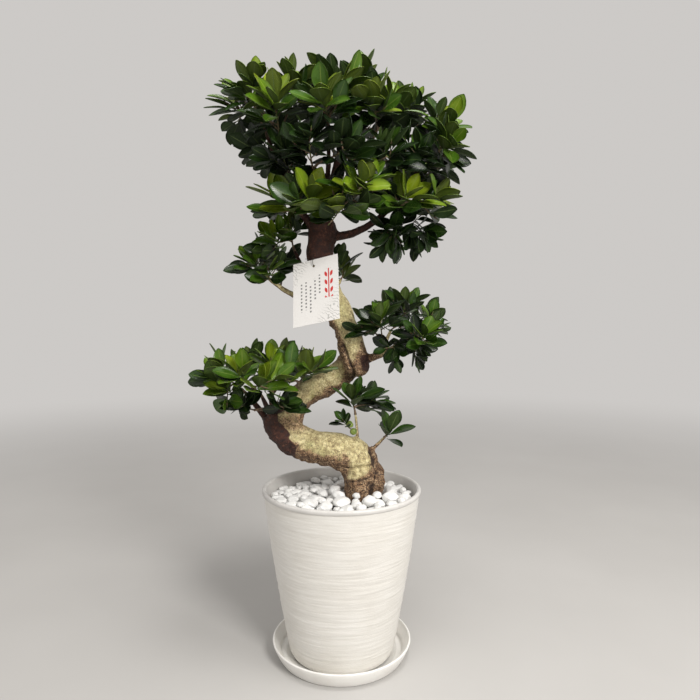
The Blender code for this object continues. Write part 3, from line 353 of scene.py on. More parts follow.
class Graph:
    """A material's nodes, made with short calls that give back sockets."""

    def __init__(self, name, roughness=0.5, **constants):
        self.material = bpy.data.materials.new(name)
        self.material.use_nodes = True
        self.tree = self.material.node_tree
        self.shader = self.tree.nodes["Principled BSDF"]
        self.shader.inputs["Roughness"].default_value = roughness
        for socket, value in constants.items():
            self.shader.inputs[socket.replace("_", " ")].default_value = value

    def node(self, kind, inputs=None, **settings):
        made = self.tree.nodes.new(kind)
        for key, value in settings.items():
            setattr(made, key, value)
        for key, value in (inputs or {}).items():
            self.feed(made.inputs[key], value)
        return made

    def feed(self, socket, value):
        if isinstance(value, bpy.types.NodeSocket):
            self.tree.links.new(value, socket)
        elif isinstance(value, tuple) and len(value) == 3 and socket.type == "RGBA":
            socket.default_value = (*value, 1)
        else:
            socket.default_value = value

    def place(self, stretch=(1, 1, 1)):
        """The point on the object, in metres, stretched."""
        coordinates = self.node("ShaderNodeTexCoord")
        if stretch == (1, 1, 1):
            return coordinates.outputs["Object"]
        inputs = {"Vector": coordinates.outputs["Object"], "Scale": stretch}
        return self.node("ShaderNodeMapping", inputs).outputs[0]

    def attribute(self, name, output="Fac"):
        """What a mesh stores under a name, at this point."""
        return self.node("ShaderNodeAttribute", attribute_name=name).outputs[output]

    def parts(self, name):
        """The three numbers of a stored vector."""
        return tuple(self.node("ShaderNodeSeparateXYZ", {"Vector": self.attribute(name, "Vector")}).outputs)

    def noise(self, place, scale, detail=3.0, roughness=0.55):
        inputs = {"Vector": place, "Scale": scale, "Detail": detail, "Roughness": roughness}
        return self.node("ShaderNodeTexNoise", inputs).outputs["Fac"]

    def cells(self, place, scale):
        """The distance to the nearest of many scattered points."""
        inputs = {"Vector": place, "Scale": scale}
        return self.node("ShaderNodeTexVoronoi", inputs, feature="F1").outputs["Distance"]

    def math(self, operation, a, b=0.0, clamp=False):
        made = self.node("ShaderNodeMath", operation=operation, use_clamp=clamp)
        self.feed(made.inputs[0], a)
        self.feed(made.inputs[1], b)
        return made.outputs[0]

    def plus(self, a, b, clamp=False):
        return self.math("ADD", a, b, clamp)

    def minus(self, a, b):
        return self.math("SUBTRACT", a, b)

    def times(self, a, b):
        return self.math("MULTIPLY", a, b)

    def absolute(self, a):
        return self.math("ABSOLUTE", a)

    def nudge(self, value, tone, amount):
        """A value moved up and down by a noise about its middle."""
        return self.plus(value, self.times(self.minus(tone, 0.5), amount))

    def span(self, value, low, high, to_low=0.0, to_high=1.0):
        """A value's stretch from low to high, smoothly mapped on to another."""
        inputs = {"Value": value, "From Min": low, "From Max": high, "To Min": to_low, "To Max": to_high}
        return self.node("ShaderNodeMapRange", inputs, interpolation_type="SMOOTHSTEP").outputs[0]

    def mix(self, share, a, b):
        """Colour a where the share is 0, and b where it is 1."""
        made = self.node("ShaderNodeMix", data_type="RGBA")
        self.feed(made.inputs["Factor"], share)
        self.feed(made.inputs[6], a)
        self.feed(made.inputs[7], b)
        return made.outputs[2]

    def ramp(self, value, stops):
        """A colour for each value, from (place, colour) stops."""
        made = self.node("ShaderNodeValToRGB", {"Fac": value})
        elements = made.color_ramp.elements
        elements.remove(elements[1])
        elements[0].position = stops[0][0]
        elements[0].color = (*stops[0][1], 1)
        for place, colour in stops[1:]:
            elements.new(place).color = (*colour, 1)
        return made.outputs["Color"]

    def finish(self, colour, roughness=None, height=None, depth=0.0005):
        """Wires up the shader; depth is the real height of the bumps in metres."""
        self.feed(self.shader.inputs["Base Color"], colour)
        if roughness is not None:
            self.feed(self.shader.inputs["Roughness"], roughness)
        if height is not None:
            bump = self.node("ShaderNodeBump", {"Height": height, "Distance": depth, "Strength": 1.0})
            self.feed(self.shader.inputs["Normal"], bump.outputs[0])
        return self.material


# ---------------------------------------------------------------- materials


def pot_material():
    """Warm white plastic with drawn-out horizontal streaks, painted darker in their low grooves as painted
    shade.
    """
    g = Graph("pot_ridged_plastic", roughness=0.55)
    streak_relief_and_shade = g.noise(g.place((14, 14, 260)), 1.0, 4.0, 0.6)
    grain = g.noise(g.place((160, 160, 520)), 1.0, 4.0, 0.65)
    blotches = g.noise(g.place(), 14.0, 3.0)
    # painted shade: the streaks darken the colour where their bumps are low
    tone = g.plus(g.times(streak_relief_and_shade, 0.4), g.times(blotches, 0.6))
    colour = g.ramp(tone, [
        (0.30, (0.72, 0.695, 0.645)), (0.50, (0.78, 0.76, 0.715)), (0.70, (0.82, 0.805, 0.77)),
    ])
    height = g.plus(g.times(streak_relief_and_shade, 0.7), g.times(grain, 0.5))
    return g.finish(colour, g.span(tone, 0.3, 0.7, 0.62, 0.48), height, 0.0008)


def shaded_lip_material():
    """The rolled lip: the same plastic, smooth, painted darker than the wall as painted shade against the
    strong light on the lip.
    """
    g = Graph("pot_lip_plastic_painted_shade", roughness=0.42)
    tone = g.noise(g.place(), 30.0, 3.0)
    # painted shade: darker than the wall's plastic, to hold down the light that falls on the lip
    colour = g.ramp(tone, [(0.35, (0.60, 0.585, 0.56)), (0.65, (0.66, 0.645, 0.62))])
    fine = g.noise(g.place(), 600.0, 2.0)
    return g.finish(colour, g.span(tone, 0.3, 0.7, 0.46, 0.38), fine, 0.00008)


def saucer_material():
    """Satin white plastic with faint scuffs and a trace of dried water."""
    g = Graph("saucer_satin_plastic", roughness=0.36)
    tone = g.noise(g.place(), 20.0, 4.0)
    scuffs = g.noise(g.place((300, 40, 40)), 1.0, 4.0, 0.7)
    colour = g.ramp(tone, [(0.35, (0.82, 0.80, 0.76)), (0.60, (0.88, 0.87, 0.84))])
    colour = g.mix(g.span(scuffs, 0.62, 0.75, 0.0, 0.25), colour, (0.70, 0.67, 0.62))
    return g.finish(colour, g.span(scuffs, 0.4, 0.75, 0.32, 0.55), scuffs, 0.00006)


def soil_material():
    """Crumbly dark potting mix."""
    g = Graph("potting_soil", roughness=0.95)
    crumbs = g.cells(g.place(), 260.0)
    tone = g.noise(g.place(), 90.0, 5.0, 0.7)
    colour = g.ramp(tone, [
        (0.3, (0.012, 0.008, 0.006)), (0.55, (0.045, 0.028, 0.018)), (0.75, (0.11, 0.075, 0.05)),
    ])
    height = g.plus(g.times(crumbs, 0.8), tone)
    return g.finish(colour, g.span(tone, 0.3, 0.7, 0.98, 0.85), height, 0.003)


def pebble_material():
    """Tumbled white marble: nearly white, with grey clouds, thin veins and a sugary grain."""
    g = Graph("white_marble_pebble", roughness=0.5)
    place = g.place()
    clouds = g.noise(place, 34.0, 4.0, 0.6)
    veins = g.absolute(g.minus(g.noise(place, 22.0, 6.0, 0.65), 0.5))
    colour = g.ramp(clouds, [
        (0.30, (0.74, 0.74, 0.73)), (0.52, (0.88, 0.88, 0.865)), (0.70, (0.94, 0.935, 0.92)),
    ])
    colour = g.mix(g.span(veins, 0.0, 0.018, 0.35, 0.0), colour, (0.52, 0.52, 0.51))
    grain = g.noise(place, 900.0, 3.0, 0.7)
    pits = g.span(g.cells(place, 330.0), 0.0, 0.25)
    height = g.plus(g.times(grain, 0.4), g.times(pits, 0.6))
    return g.finish(colour, g.span(grain, 0.3, 0.7, 0.42, 0.62), height, 0.00035)


def bark_material():
    """Ficus bark: pale yellow-olive where it is smooth, rusty brown and speckled where it is
    rough, and dark red-brown on old cuts. The trunk's own marks say where each is."""
    g = Graph("ficus_bark", roughness=0.75)
    place = g.place()
    rough = g.attribute("bark_rough")
    dark = g.attribute("bark_dark")
    crease_shade = g.attribute("bark_crease_shade")
    broad = g.noise(place, 24.0, 4.0, 0.6)
    fine = g.noise(place, 120.0, 6.0, 0.75)
    flecks = g.noise(place, 380.0, 4.0, 0.75)
    pores = g.cells(place, 210.0)
    cracks = g.absolute(g.minus(g.noise(place, 55.0, 6.0, 0.7), 0.5))
    pale = g.ramp(fine, [
        (0.34, (0.20, 0.14, 0.065)), (0.48, (0.56, 0.465, 0.235)), (0.63, (0.86, 0.775, 0.45)),
    ])
    pale = g.mix(g.span(broad, 0.48, 0.68, 0.0, 0.5), pale, (0.40, 0.385, 0.15))
    pale = g.mix(g.span(cracks, 0.0, 0.028, 0.60, 0.0), pale, (0.11, 0.065, 0.030))
    brown = g.ramp(fine, [
        (0.34, (0.090, 0.042, 0.020)), (0.50, (0.34, 0.205, 0.105)), (0.66, (0.72, 0.53, 0.33)),
    ])
    old = g.ramp(fine, [
        (0.36, (0.016, 0.005, 0.004)), (0.55, (0.068, 0.022, 0.013)), (0.72, (0.22, 0.105, 0.068)),
    ])
    patchy = g.nudge(rough, fine, 1.6)
    colour = g.mix(g.span(patchy, 0.25, 0.75), pale, brown)
    edge = g.nudge(dark, fine, 0.8)
    colour = g.mix(g.span(edge, 0.38, 0.62), colour, old)
    speck_size = g.span(rough, 0.0, 1.0, 0.41, 0.53)
    specks = g.span(g.minus(speck_size, flecks), 0.0, 0.05)
    colour = g.mix(g.times(specks, 0.88), colour, (0.035, 0.015, 0.010))
    # painted shade: the wood's creases and hollows darkened, as shade falls in them
    colour = g.mix(g.span(crease_shade, 0.20, 1.0, 0.0, 0.9), colour, (0.022, 0.011, 0.008))
    ridges = g.times(g.span(pores, 0.0, 0.5), g.span(rough, 0.0, 1.0, 0.2, 1.2))
    height = g.plus(g.times(fine, 1.2), g.times(ridges, 0.7))
    height = g.plus(height, g.times(flecks, 0.45))
    return g.finish(colour, g.span(fine, 0.3, 0.7, 0.60, 0.88), height, 0.0021)


def twig_material():
    """Young shoots: green at their tips and grey-brown where they are old."""
    g = Graph("ficus_twig", roughness=0.6)
    share = g.parts("blade_place")[1]
    tone = g.noise(g.place(), 260.0, 4.0, 0.7)
    wood = g.ramp(tone, [(0.35, (0.075, 0.045, 0.028)), (0.65, (0.24, 0.165, 0.10))])
    green = g.ramp(tone, [(0.35, (0.06, 0.10, 0.015)), (0.65, (0.15, 0.20, 0.04))])
    colour = g.mix(g.span(share, 0.45, 0.95), wood, green)
    return g.finish(colour, g.span(tone, 0.3, 0.7, 0.5, 0.75), tone, 0.0006)


def leaf_material():
    """The upper face: glossy and deep green to yellow-green, with a pale midrib and margin."""
    g = Graph("ficus_leaf_top", roughness=0.27, Specular_IOR_Level=0.36)
    across, along, _ = g.parts("blade_place")
    youth_and_shade = g.attribute("leaf_youth_and_shade")
    side = g.absolute(across)
    blotches = g.noise(g.place(), 70.0, 3.0, 0.6)
    age_and_shade = g.nudge(youth_and_shade, blotches, 0.35)
    # painted light and shade: besides the leaves' age, the youth mark is low for leaves inside and under the
    # crown and high for the top ones
    blade = g.ramp(age_and_shade, [
        (0.00, (0.0035, 0.0095, 0.0020)), (0.28, (0.023, 0.059, 0.0065)), (0.50, (0.048, 0.115, 0.0070)),
        (0.75, (0.112, 0.198, 0.0090)), (1.00, (0.25, 0.32, 0.0140)),
    ])
    veins = vein_wave(g, side, along)
    vein_tint = g.mix(g.span(youth_and_shade, 0.1, 0.8), (0.020, 0.055, 0.010), (0.20, 0.27, 0.035))
    blade = g.mix(g.span(veins, 0.55, 1.0, 0.0, 0.09), blade, vein_tint)
    margin = g.span(side, 0.88, 1.0, 0.0, 0.30)
    blade = g.mix(margin, blade, vein_tint)
    rib = g.span(side, 0.020, 0.070, 0.70, 0.0)
    rib = g.times(rib, g.span(along, 0.88, 1.0, 1.0, 0.0))
    rib_tint = g.mix(g.span(youth_and_shade, 0.1, 0.8), (0.060, 0.105, 0.022), (0.28, 0.34, 0.060))
    blade = g.mix(rib, blade, rib_tint)
    skin = g.noise(g.place(), 300.0, 2.0)
    height = g.plus(g.times(veins, 0.05), g.times(skin, 0.25))
    return g.finish(blade, g.span(blotches, 0.3, 0.7, 0.24, 0.40), height, 0.0004)


def underside_material():
    """The lower face: paler and matt, with raised veins."""
    g = Graph("ficus_leaf_under", roughness=0.5, Specular_IOR_Level=0.3)
    across, along, _ = g.parts("blade_place")
    side = g.absolute(across)
    youth_and_shade = g.attribute("leaf_youth_and_shade")
    tone = g.noise(g.place(), 110.0, 3.0, 0.6)
    age_and_shade = g.nudge(youth_and_shade, tone, 0.3)
    # painted light and shade: the youth mark darkens leaves inside and under the crown and brightens the top
    # ones, besides their age
    blade = g.ramp(age_and_shade, [
        (0.0, (0.016, 0.034, 0.009)), (0.5, (0.045, 0.082, 0.014)), (1.0, (0.14, 0.185, 0.028)),
    ])
    rib = g.span(side, 0.03, 0.09, 0.8, 0.0)
    blade = g.mix(rib, blade, (0.13, 0.18, 0.06))
    height = g.plus(vein_wave(g, side, along), tone)
    return g.finish(blade, g.span(tone, 0.3, 0.7, 0.5, 0.62), height, 0.0003)


def vein_wave(g, side, along):
    """The side veins of a blade, slanting forward from the midrib, as a wave from -1 to 1."""
    slant = g.minus(g.times(along, VEIN_COUNT), g.times(side, VEIN_SLANT))
    return g.math("SINE", g.times(slant, TURN))


def fig_material():
    """Small green figs with paler spots."""
    g = Graph("green_fig", roughness=0.4)
    tone = g.noise(g.place(), 240.0, 3.0)
    spots = g.span(g.cells(g.place(), 620.0), 0.05, 0.22)
    colour = g.ramp(tone, [(0.35, (0.10, 0.17, 0.025)), (0.65, (0.24, 0.30, 0.06))])
    colour = g.mix(spots, (0.42, 0.44, 0.20), colour)
    return g.finish(colour, g.span(tone, 0.3, 0.7, 0.34, 0.5), spots, 0.0001)


def card_material():
    """White card with faint grey waves in two corners, a sprig in red, and dotted rules."""
    g = Graph("printed_card", roughness=0.5)
    x, z, face = g.parts("card_place")
    fibre = g.noise(g.place((900, 900, 300)), 1.0, 3.0)
    paper = g.ramp(fibre, [(0.3, (0.80, 0.78, 0.755)), (0.7, (0.88, 0.865, 0.845))])
    bend = g.noise(g.place(), 60.0, 2.0)
    high_left = g.span(g.minus(z, x), 0.95, 1.5)
    low_right = g.span(g.minus(x, z), 0.70, 1.3)
    corner = g.math("MAXIMUM", high_left, low_right)
    swirl = g.times(g.plus(g.plus(x, g.times(z, 1.6)), bend), 30.0)
    wave = g.span(g.math("SINE", swirl), 0.55, 0.95)
    ink = g.times(g.times(wave, corner), 0.6)
    paper = g.mix(g.times(ink, face), paper, (0.30, 0.30, 0.28))
    paper = g.mix(g.times(dotted_rules(g, x, z), face), paper, (0.05, 0.05, 0.055))
    paper = g.mix(g.times(red_sprig(g, x, z), face), paper, (0.62, 0.035, 0.03))
    return g.finish(paper, g.span(fibre, 0.3, 0.7, 0.45, 0.56), fibre, 0.00005)


def dotted_rules(g, x, z):
    """Five upright dotted lines of unlike lengths; x and z run from -1 to 1 over the card."""
    total = 0.0
    rules = [  # place, low end, high end
        (-0.62, -0.60, 0.30), (-0.42, -0.55, 0.34), (-0.22, -0.66, 0.22), (-0.02, -0.30, 0.40),
        (0.18, -0.12, 0.48),
    ]
    for centre, low, high in rules:
        column = g.span(g.absolute(g.minus(x, centre)), 0.025, 0.040, 1.0, 0.0)
        wave = g.math("SINE", g.times(g.plus(z, centre * 3), 58.0))
        dots = g.span(wave, -0.1, 0.35)
        inside = g.times(g.span(z, low, low + 0.02), g.span(z, high - 0.02, high, 1.0, 0.0))
        line = g.times(g.times(column, dots), inside)
        total = g.plus(total, line, clamp=True)
    return g.times(total, 0.85)


def red_sprig(g, x, z):
    """An upright stem with pairs of small leaves."""
    centre = 0.58
    off = g.absolute(g.minus(x, centre))
    inside = g.times(g.span(z, -0.30, -0.27), g.span(z, 0.60, 0.63, 1.0, 0.0))
    stem = g.span(off, 0.018, 0.032, 1.0, 0.0)
    slanted = g.minus(z, g.times(off, 0.55))
    wave = g.absolute(g.math("SINE", g.times(slanted, 12.5)))
    taper = g.times(g.span(off, 0.0, 0.10), g.span(off, 0.14, 0.24, 1.0, 0.0))
    leaves = g.span(g.times(wave, taper), 0.55, 0.75)
    return g.times(g.math("MAXIMUM", stem, leaves), inside)


def wire_material():
    """Dark plastic-coated tie wire with a fine twist."""
    g = Graph("coated_wire", roughness=0.45)
    tone = g.noise(g.place(), 700.0, 3.0)
    colour = g.ramp(tone, [(0.3, (0.018, 0.014, 0.012)), (0.7, (0.075, 0.055, 0.045))])
    return g.finish(colour, g.span(tone, 0.3, 0.7, 0.35, 0.6), tone, 0.0002)


def floor_material():
    """A plain pale floor that fades into the colour of the room far away."""
    g = Graph("pale_floor", roughness=1.0, Specular_IOR_Level=0.0)
    place = g.place()
    far = g.node("ShaderNodeVectorMath", {0: place}, operation="LENGTH").outputs["Value"]
    fade = g.span(far, 0.9, 4.2)
    tone = g.noise(place, 2.0, 3.0)
    near = g.ramp(tone, [(0.3, (0.50, 0.49, 0.475)), (0.7, (0.53, 0.52, 0.505))])
    g.feed(g.shader.inputs["Emission Color"], ROOM_COLOUR)
    g.feed(g.shader.inputs["Emission Strength"], g.times(fade, ROOM_STRENGTH))
    return g.finish(g.mix(fade, near, (0.0, 0.0, 0.0)))


# ---------------------------------------------------------------- pot, saucer, soil


def wall_radius(height):
    """The pot's outer radius at a height above its foot."""
    share = height / SHOULDER
    top = RIM_RADIUS - LIP_PROUD
    return POT_FOOT_RADIUS + (top - POT_FOOT_RADIUS) * share + 4 * POT_BULGE * share * (1 - share)


def spread(low, high, count):
    """Values from low to high, in a number of even steps."""
    return [low + (high - low) * k / count for k in range(count + 1)]


def pot_profile(floor_z):
    """The pot's section as (radius, z), from the middle of its foot round to its floor."""
    lip = LIP_WIDTH / 2
    inside = POT_FOOT_RADIUS - POT_WALL
    shoulder_z = FOOT_Z + SHOULDER
    profile = [(0, FOOT_Z)]
    profile += [(POT_FOOT_RADIUS * k / 6, FOOT_Z) for k in range(1, 6)]
    profile += arc(POT_FOOT_RADIUS - POT_FOOT_ROUND, FOOT_Z + POT_FOOT_ROUND, POT_FOOT_ROUND, -90, -5, 6)
    outer = spread(POT_FOOT_ROUND * 1.25, SHOULDER, POT_LEVELS)
    profile += [(wall_radius(height), FOOT_Z + height) for height in outer]
    profile += [(RIM_RADIUS - 0.0022, shoulder_z + 0.0002), (RIM_RADIUS - 0.0008, shoulder_z + 0.0012)]
    profile += [(RIM_RADIUS - 0.0001, RIM_Z - lip - 0.0022)]
    profile += arc(RIM_RADIUS - lip, RIM_Z - lip, lip, 0, 180, 12)
    profile += [(RIM_RADIUS - LIP_WIDTH - 0.0003, RIM_Z - lip - 0.003)]
    inner = spread(SHOULDER * 0.97, POT_WALL * 2.4, POT_INNER_LEVELS)
    profile += [(wall_radius(height) - POT_WALL, FOOT_Z + height) for height in inner]
    profile += arc(inside - POT_CORNER + 0.0002, floor_z + POT_CORNER, POT_CORNER, -20, -90, 5)
    return profile + [(0.06, floor_z), (0.03, floor_z), (0, floor_z)]


def ridge(points, on_wall):
    """The points with the wall's level ridges, which die out towards its foot and its lip."""
    height = points[:, 2] - FOOT_Z
    radius = np.hypot(points[:, 0], points[:, 1])
    fade = step(height, 0.010, 0.030) * step(-height, -SHOULDER + 0.001, -SHOULDER + 0.010) * on_wall
    waved = points + np.outer(0.004 * lumps(points, (9, 9, 20), 8.0), UP)
    ridges = 0.9 * lumps(waved, (6, 6, 95)) - 0.9 * np.abs(lumps(waved, (10, 10, 150), 5.0))
    ridges += 0.45 * lumps(waved, (22, 22, 330), 9.0) + 0.3
    grow = 1 + RIDGE_DEPTH * fade * ridges / np.maximum(radius, 0.01)
    return points * np.column_stack([grow, grow, np.ones(len(points))])


def make_pot():
    """A lathed wall with hand-brushed ridges, a smooth rolled lip and drain holes."""
    floor_z = FOOT_Z + POT_WALL
    points, faces = lathe(pot_profile(floor_z), POT_SIDES)
    points = np.array(points)
    height = points[:, 2] - FOOT_Z
    wall = np.array([wall_radius(max(h, 0)) for h in height])
    on_wall = (np.hypot(points[:, 0], points[:, 1]) > wall - 0.002) & (height < SHOULDER + 0.0001)
    pot = mesh_object("white_pot", ridge(points, on_wall), faces, [pot_material(), shaded_lip_material()])
    recalculate(pot)
    for polygon in pot.data.polygons:
        z = polygon.center.z - FOOT_Z
        across = math.hypot(polygon.center.x, polygon.center.y)
        if z > SHOULDER - 0.0005 or across < wall_radius(max(z, 0)) - POT_WALL * 0.5:
            polygon.material_index = 1
    drill(pot, floor_z)
    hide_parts("pot")


def drill(pot, floor_z):
    """Cuts the drain holes through the pot's floor."""
    skin = bmesh.new()
    for k in range(DRAIN_COUNT):
        angle = TURN * k / DRAIN_COUNT
        middle = (DRAIN_CIRCLE * math.cos(angle), DRAIN_CIRCLE * math.sin(angle), (FOOT_Z + floor_z) / 2)
        bmesh.ops.create_cone(
            skin, cap_ends=True, segments=24, radius1=DRAIN_RADIUS, radius2=DRAIN_RADIUS,
            depth=POT_WALL * 2, matrix=Matrix.Translation(middle),
        )
    cutter = add_object("drain_holes", mesh_of(skin, "drain_holes"))
    cut = pot.modifiers.new("drain", "BOOLEAN")
    cut.operation = "DIFFERENCE"
    cut.solver = "EXACT"
    cut.object = cutter
    apply_modifiers(pot)
    bpy.data.objects.remove(cutter)


def bowed(low, high, shares, bow):
    """Points at some shares of the way between two others, pushed out like a bow."""
    low, high = np.array(low), np.array(high)
    return [
        tuple(low + (high - low) * share + np.array((0.7, -0.3)) * bow * math.sin(math.pi * share))
        for share in shares
    ]


def make_saucer():
    """A dish with a rounded rim and a low step round the pot's foot."""
    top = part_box("saucer")[1]
    foot = top.x - SAUCER_SPREAD
    inside = foot - SAUCER_WALL
    lip = SAUCER_WALL / 2
    step_radius = POT_FOOT_RADIUS + SAUCER_STEP_CLEARANCE
    step_z = SAUCER_FLOOR + SAUCER_STEP
    outer = arc(foot - SAUCER_ROUND, SAUCER_ROUND, SAUCER_ROUND, -90, -20, 5)
    corner = arc(inside - SAUCER_CORNER, step_z + SAUCER_CORNER, SAUCER_CORNER, 0, -90, 5)
    profile = [(0, 0), (foot * 0.5, 0)] + outer
    profile += bowed(outer[-1], (top.x, top.z - lip), (0.25, 0.5, 0.75), SAUCER_BOWS[0])
    profile += arc(top.x - lip, top.z - lip, lip, 0, 180, 8)
    profile += bowed(corner[0], (top.x - SAUCER_WALL, top.z - lip), (0.75, 0.5, 0.25), SAUCER_BOWS[1])
    profile += corner
    profile += [(step_radius + SAUCER_STEP * 1.2, step_z), (step_radius + SAUCER_STEP * 0.6, step_z - 0.0004)]
    profile += [(step_radius, SAUCER_FLOOR), (step_radius * 0.5, SAUCER_FLOOR), (0, SAUCER_FLOOR)]
    points, faces = lathe(profile, SAUCER_SIDES)
    saucer = mesh_object("white_saucer", points, faces, [saucer_material()])
    recalculate(saucer)
    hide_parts("saucer")


def make_soil():
    """The packed soil keeps its shape and gets a crumbly face."""
    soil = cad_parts["soil"]
    soil.data.materials.clear()
    soil.data.materials.append(soil_material())


# ---------------------------------------------------------------- stones


def round_off(thing, levels, chips, seed):
    """Smooths a coarse stone and gives it shallow dents."""
    smooth = thing.modifiers.new("smooth", "SUBSURF")
    smooth.levels = smooth.render_levels = levels
    apply_modifiers(thing)
    points = read_points(thing.data)
    normals = read_normals(thing.data)
    dents = 0.6 * lumps(points, 55, seed) + 0.3 * lumps(points, 140, seed + 3)
    write_points(thing.data, points + normals * (chips * dents)[:, None])
    thing.data.name = thing.name


def make_pebbles(marble):
    """The large stones, each in its node's place, and many smaller ones dropped among them."""
    bed = Bed()
    for number, node in enumerate(sorted(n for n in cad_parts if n.startswith("pebble"))):
        points, faces = node_mesh(node)
        bed.cover(points, faces)
        stone = mesh_object("marble_" + node, points, faces, [marble])
        round_off(stone, 3, 0.0009, number)
        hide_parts(node)
    chance = random.Random(STONE_SEED)
    skin_points, skin_faces = [], []
    for count, low, high, tries in STONE_LOADS:
        for _ in range(count):
            size = chance.uniform(low, high)
            wide, deep = chance.uniform(0.36, 0.45), chance.uniform(0.27, 0.36)
            halves = (size * 0.5, size * wide, size * deep)
            turn = chance.uniform(0, TURN)
            spots = [(chance.uniform(-1, 1), chance.uniform(-1, 1)) for _ in range(tries)]
            place = bed.lowest(spots, halves, turn)
            if place is None:
                continue
            points, faces = loose_stone(halves, turn, chance)
            skin_faces += [tuple(k + len(skin_points) for k in face) for face in faces]
            skin_points += [point + place for point in points]
    small = mesh_object("marble_small_pebbles", skin_points, skin_faces, [marble])
    round_off(small, 0, 0.0005, 40)


class Bed:
    """The height of the stones' top so far, over a fine grid, to drop more stones on."""

    def __init__(self):
        self.reach = wall_radius(SOIL_Z - FOOT_Z) - POT_WALL - BED_MARGIN
        self.count = int(2 * self.reach / BED_CELL) + 1
        line = (np.arange(self.count) - (self.count - 1) / 2) * BED_CELL
        self.x, self.y = np.meshgrid(line, line, indexing="ij")
        radius = np.hypot(self.x, self.y)
        self.top = np.full(self.x.shape, SOIL_Z)
        self.top[radius > self.reach] = BED_CLOSED
        points, faces = node_mesh("trunk")
        wood = tree_of(points, faces)
        levels = (SOIL_Z + 0.008, RIM_Z - 0.012, RIM_Z)  # where the wood is looked for
        for i in range(self.count):
            for j in range(self.count):
                for z in levels:
                    here = Vector((self.x[i, j], self.y[i, j], z))
                    spot, normal, _, far = wood.find_nearest(here)
                    if far < BARK_CLEARANCE or (here - spot).dot(normal) < 0:
                        self.top[i, j] = BED_CLOSED
        middle = np.array([point for point in points if point.z < RIM_Z]).mean(0)
        away = np.hypot(self.x - middle[0], self.y - middle[1])
        outer = step(away, 0.045, 0.085)
        low = 0.003 + 0.009 * step(self.y, -0.05, 0.09) + 0.004 * step(-self.x, 0.04, 0.12)
        self.ceiling = RIM_Z - low * outer + 0.003 * (1 - outer)  # how high a stone's top may reach

    def cover(self, points, faces):
        """Raises the bed's top to a stone that is already there."""
        tree = tree_of(points, faces)
        flat = as_array(points)
        low, high = flat.min(0), flat.max(0)
        near = (self.x > low[0]) & (self.x < high[0]) & (self.y > low[1]) & (self.y < high[1])
        for i, j in np.argwhere(near):
            hit = tree.ray_cast(Vector((self.x[i, j], self.y[i, j], 1.0)), -UP)[0]
            if hit is not None:
                self.top[i, j] = max(self.top[i, j], hit.z + STONE_GAP)

    def lowest(self, spots, halves, turn):
        """Rests an ellipsoid at whichever spot lets it lie lowest, and covers the bed with it."""
        a, b, c = halves
        span = int(a / BED_CELL) + 1
        best = None
        for u, v in spots:
            i = int((u * 0.5 + 0.5) * (self.count - 1))
            j = int((v * 0.5 + 0.5) * (self.count - 1))
            if min(i, j) < span or max(i, j) + span >= self.count:
                continue
            window = (slice(i - span, i + span + 1), slice(j - span, j + span + 1))
            dx = self.x[window] - self.x[i, j]
            dy = self.y[window] - self.y[i, j]
            along = (dx * math.cos(turn) + dy * math.sin(turn)) / a
            aside = (dy * math.cos(turn) - dx * math.sin(turn)) / b
            under = 1 - along**2 - aside**2
            inside = under > 0
            half = c * np.sqrt(np.where(inside, under, 0))
            rest = (self.top[window] + half)[inside].max()
            if rest + c < self.ceiling[i, j] and (best is None or rest < best[0]):
                best = (rest, window, inside, half, i, j)
        if best is None:
            return None
        rest, window, inside, half, i, j = best
        patch = self.top[window]
        patch[inside] = np.maximum(patch[inside], rest + half[inside] - STONE_SETTLE)
        return Vector((self.x[i, j], self.y[i, j], rest))


def loose_stone(halves, turn, chance):
    """A lumpy ellipsoid about the origin, as points and faces."""
    skin = bmesh.new()
    bmesh.ops.create_icosphere(skin, subdivisions=4, radius=1)
    spin = Matrix.Rotation(turn, 3, "Z")
    stretch = Matrix.Diagonal(halves)
    phase = [chance.uniform(0, TURN) for _ in range(3)]
    chips = []
    for _ in range(STONE_CHIPS):
        way = Vector([chance.gauss(0, 1) for _ in range(3)]).normalized()
        chips.append((way, chance.uniform(0.74, 0.92)))
    points = []
    for vert in skin.verts:
        lump = 1.0 + 0.05 * sum(math.sin(2.6 * vert.co[k] + phase[k]) for k in range(3))
        point = vert.co * min(lump, 1.05)
        for way, reach in chips:
            point = point - way * max(0.0, point.dot(way) - reach)
        points.append(spin @ stretch @ point)
    faces = [tuple(vert.index for vert in face.verts) for face in skin.faces]
    skin.free()
    return points, faces


# ---------------------------------------------------------------- trunk


def thickness(points, normals, faces):
    """Half the distance through the wood from each vertex, straight in."""
    tree = tree_of(points, faces)
    found = []
    for point, normal in zip(points, normals):
        inward = -Vector(normal)
        far = tree.ray_cast(Vector(point) + inward * 0.0008, inward, 0.12)[3]
        found.append((far or THINNEST) / 2 if far is not None else THINNEST)
    return np.array(found)


def averager(mesh):
    """A function that replaces each vertex's value by the mean of its neighbours' values."""
    edges = np.zeros(len(mesh.edges) * 2, np.int32)
    mesh.edges.foreach_get("vertices", edges)
    edges = edges.reshape(-1, 2)
    valence = np.bincount(edges.ravel(), minlength=len(mesh.vertices)).astype(float)

    def average(values):
        total = np.zeros_like(values)
        np.add.at(total, edges[:, 0], values[edges[:, 1]])
        np.add.at(total, edges[:, 1], values[edges[:, 0]])
        return total / (valence[:, None] if values.ndim == 2 else valence)

    return average


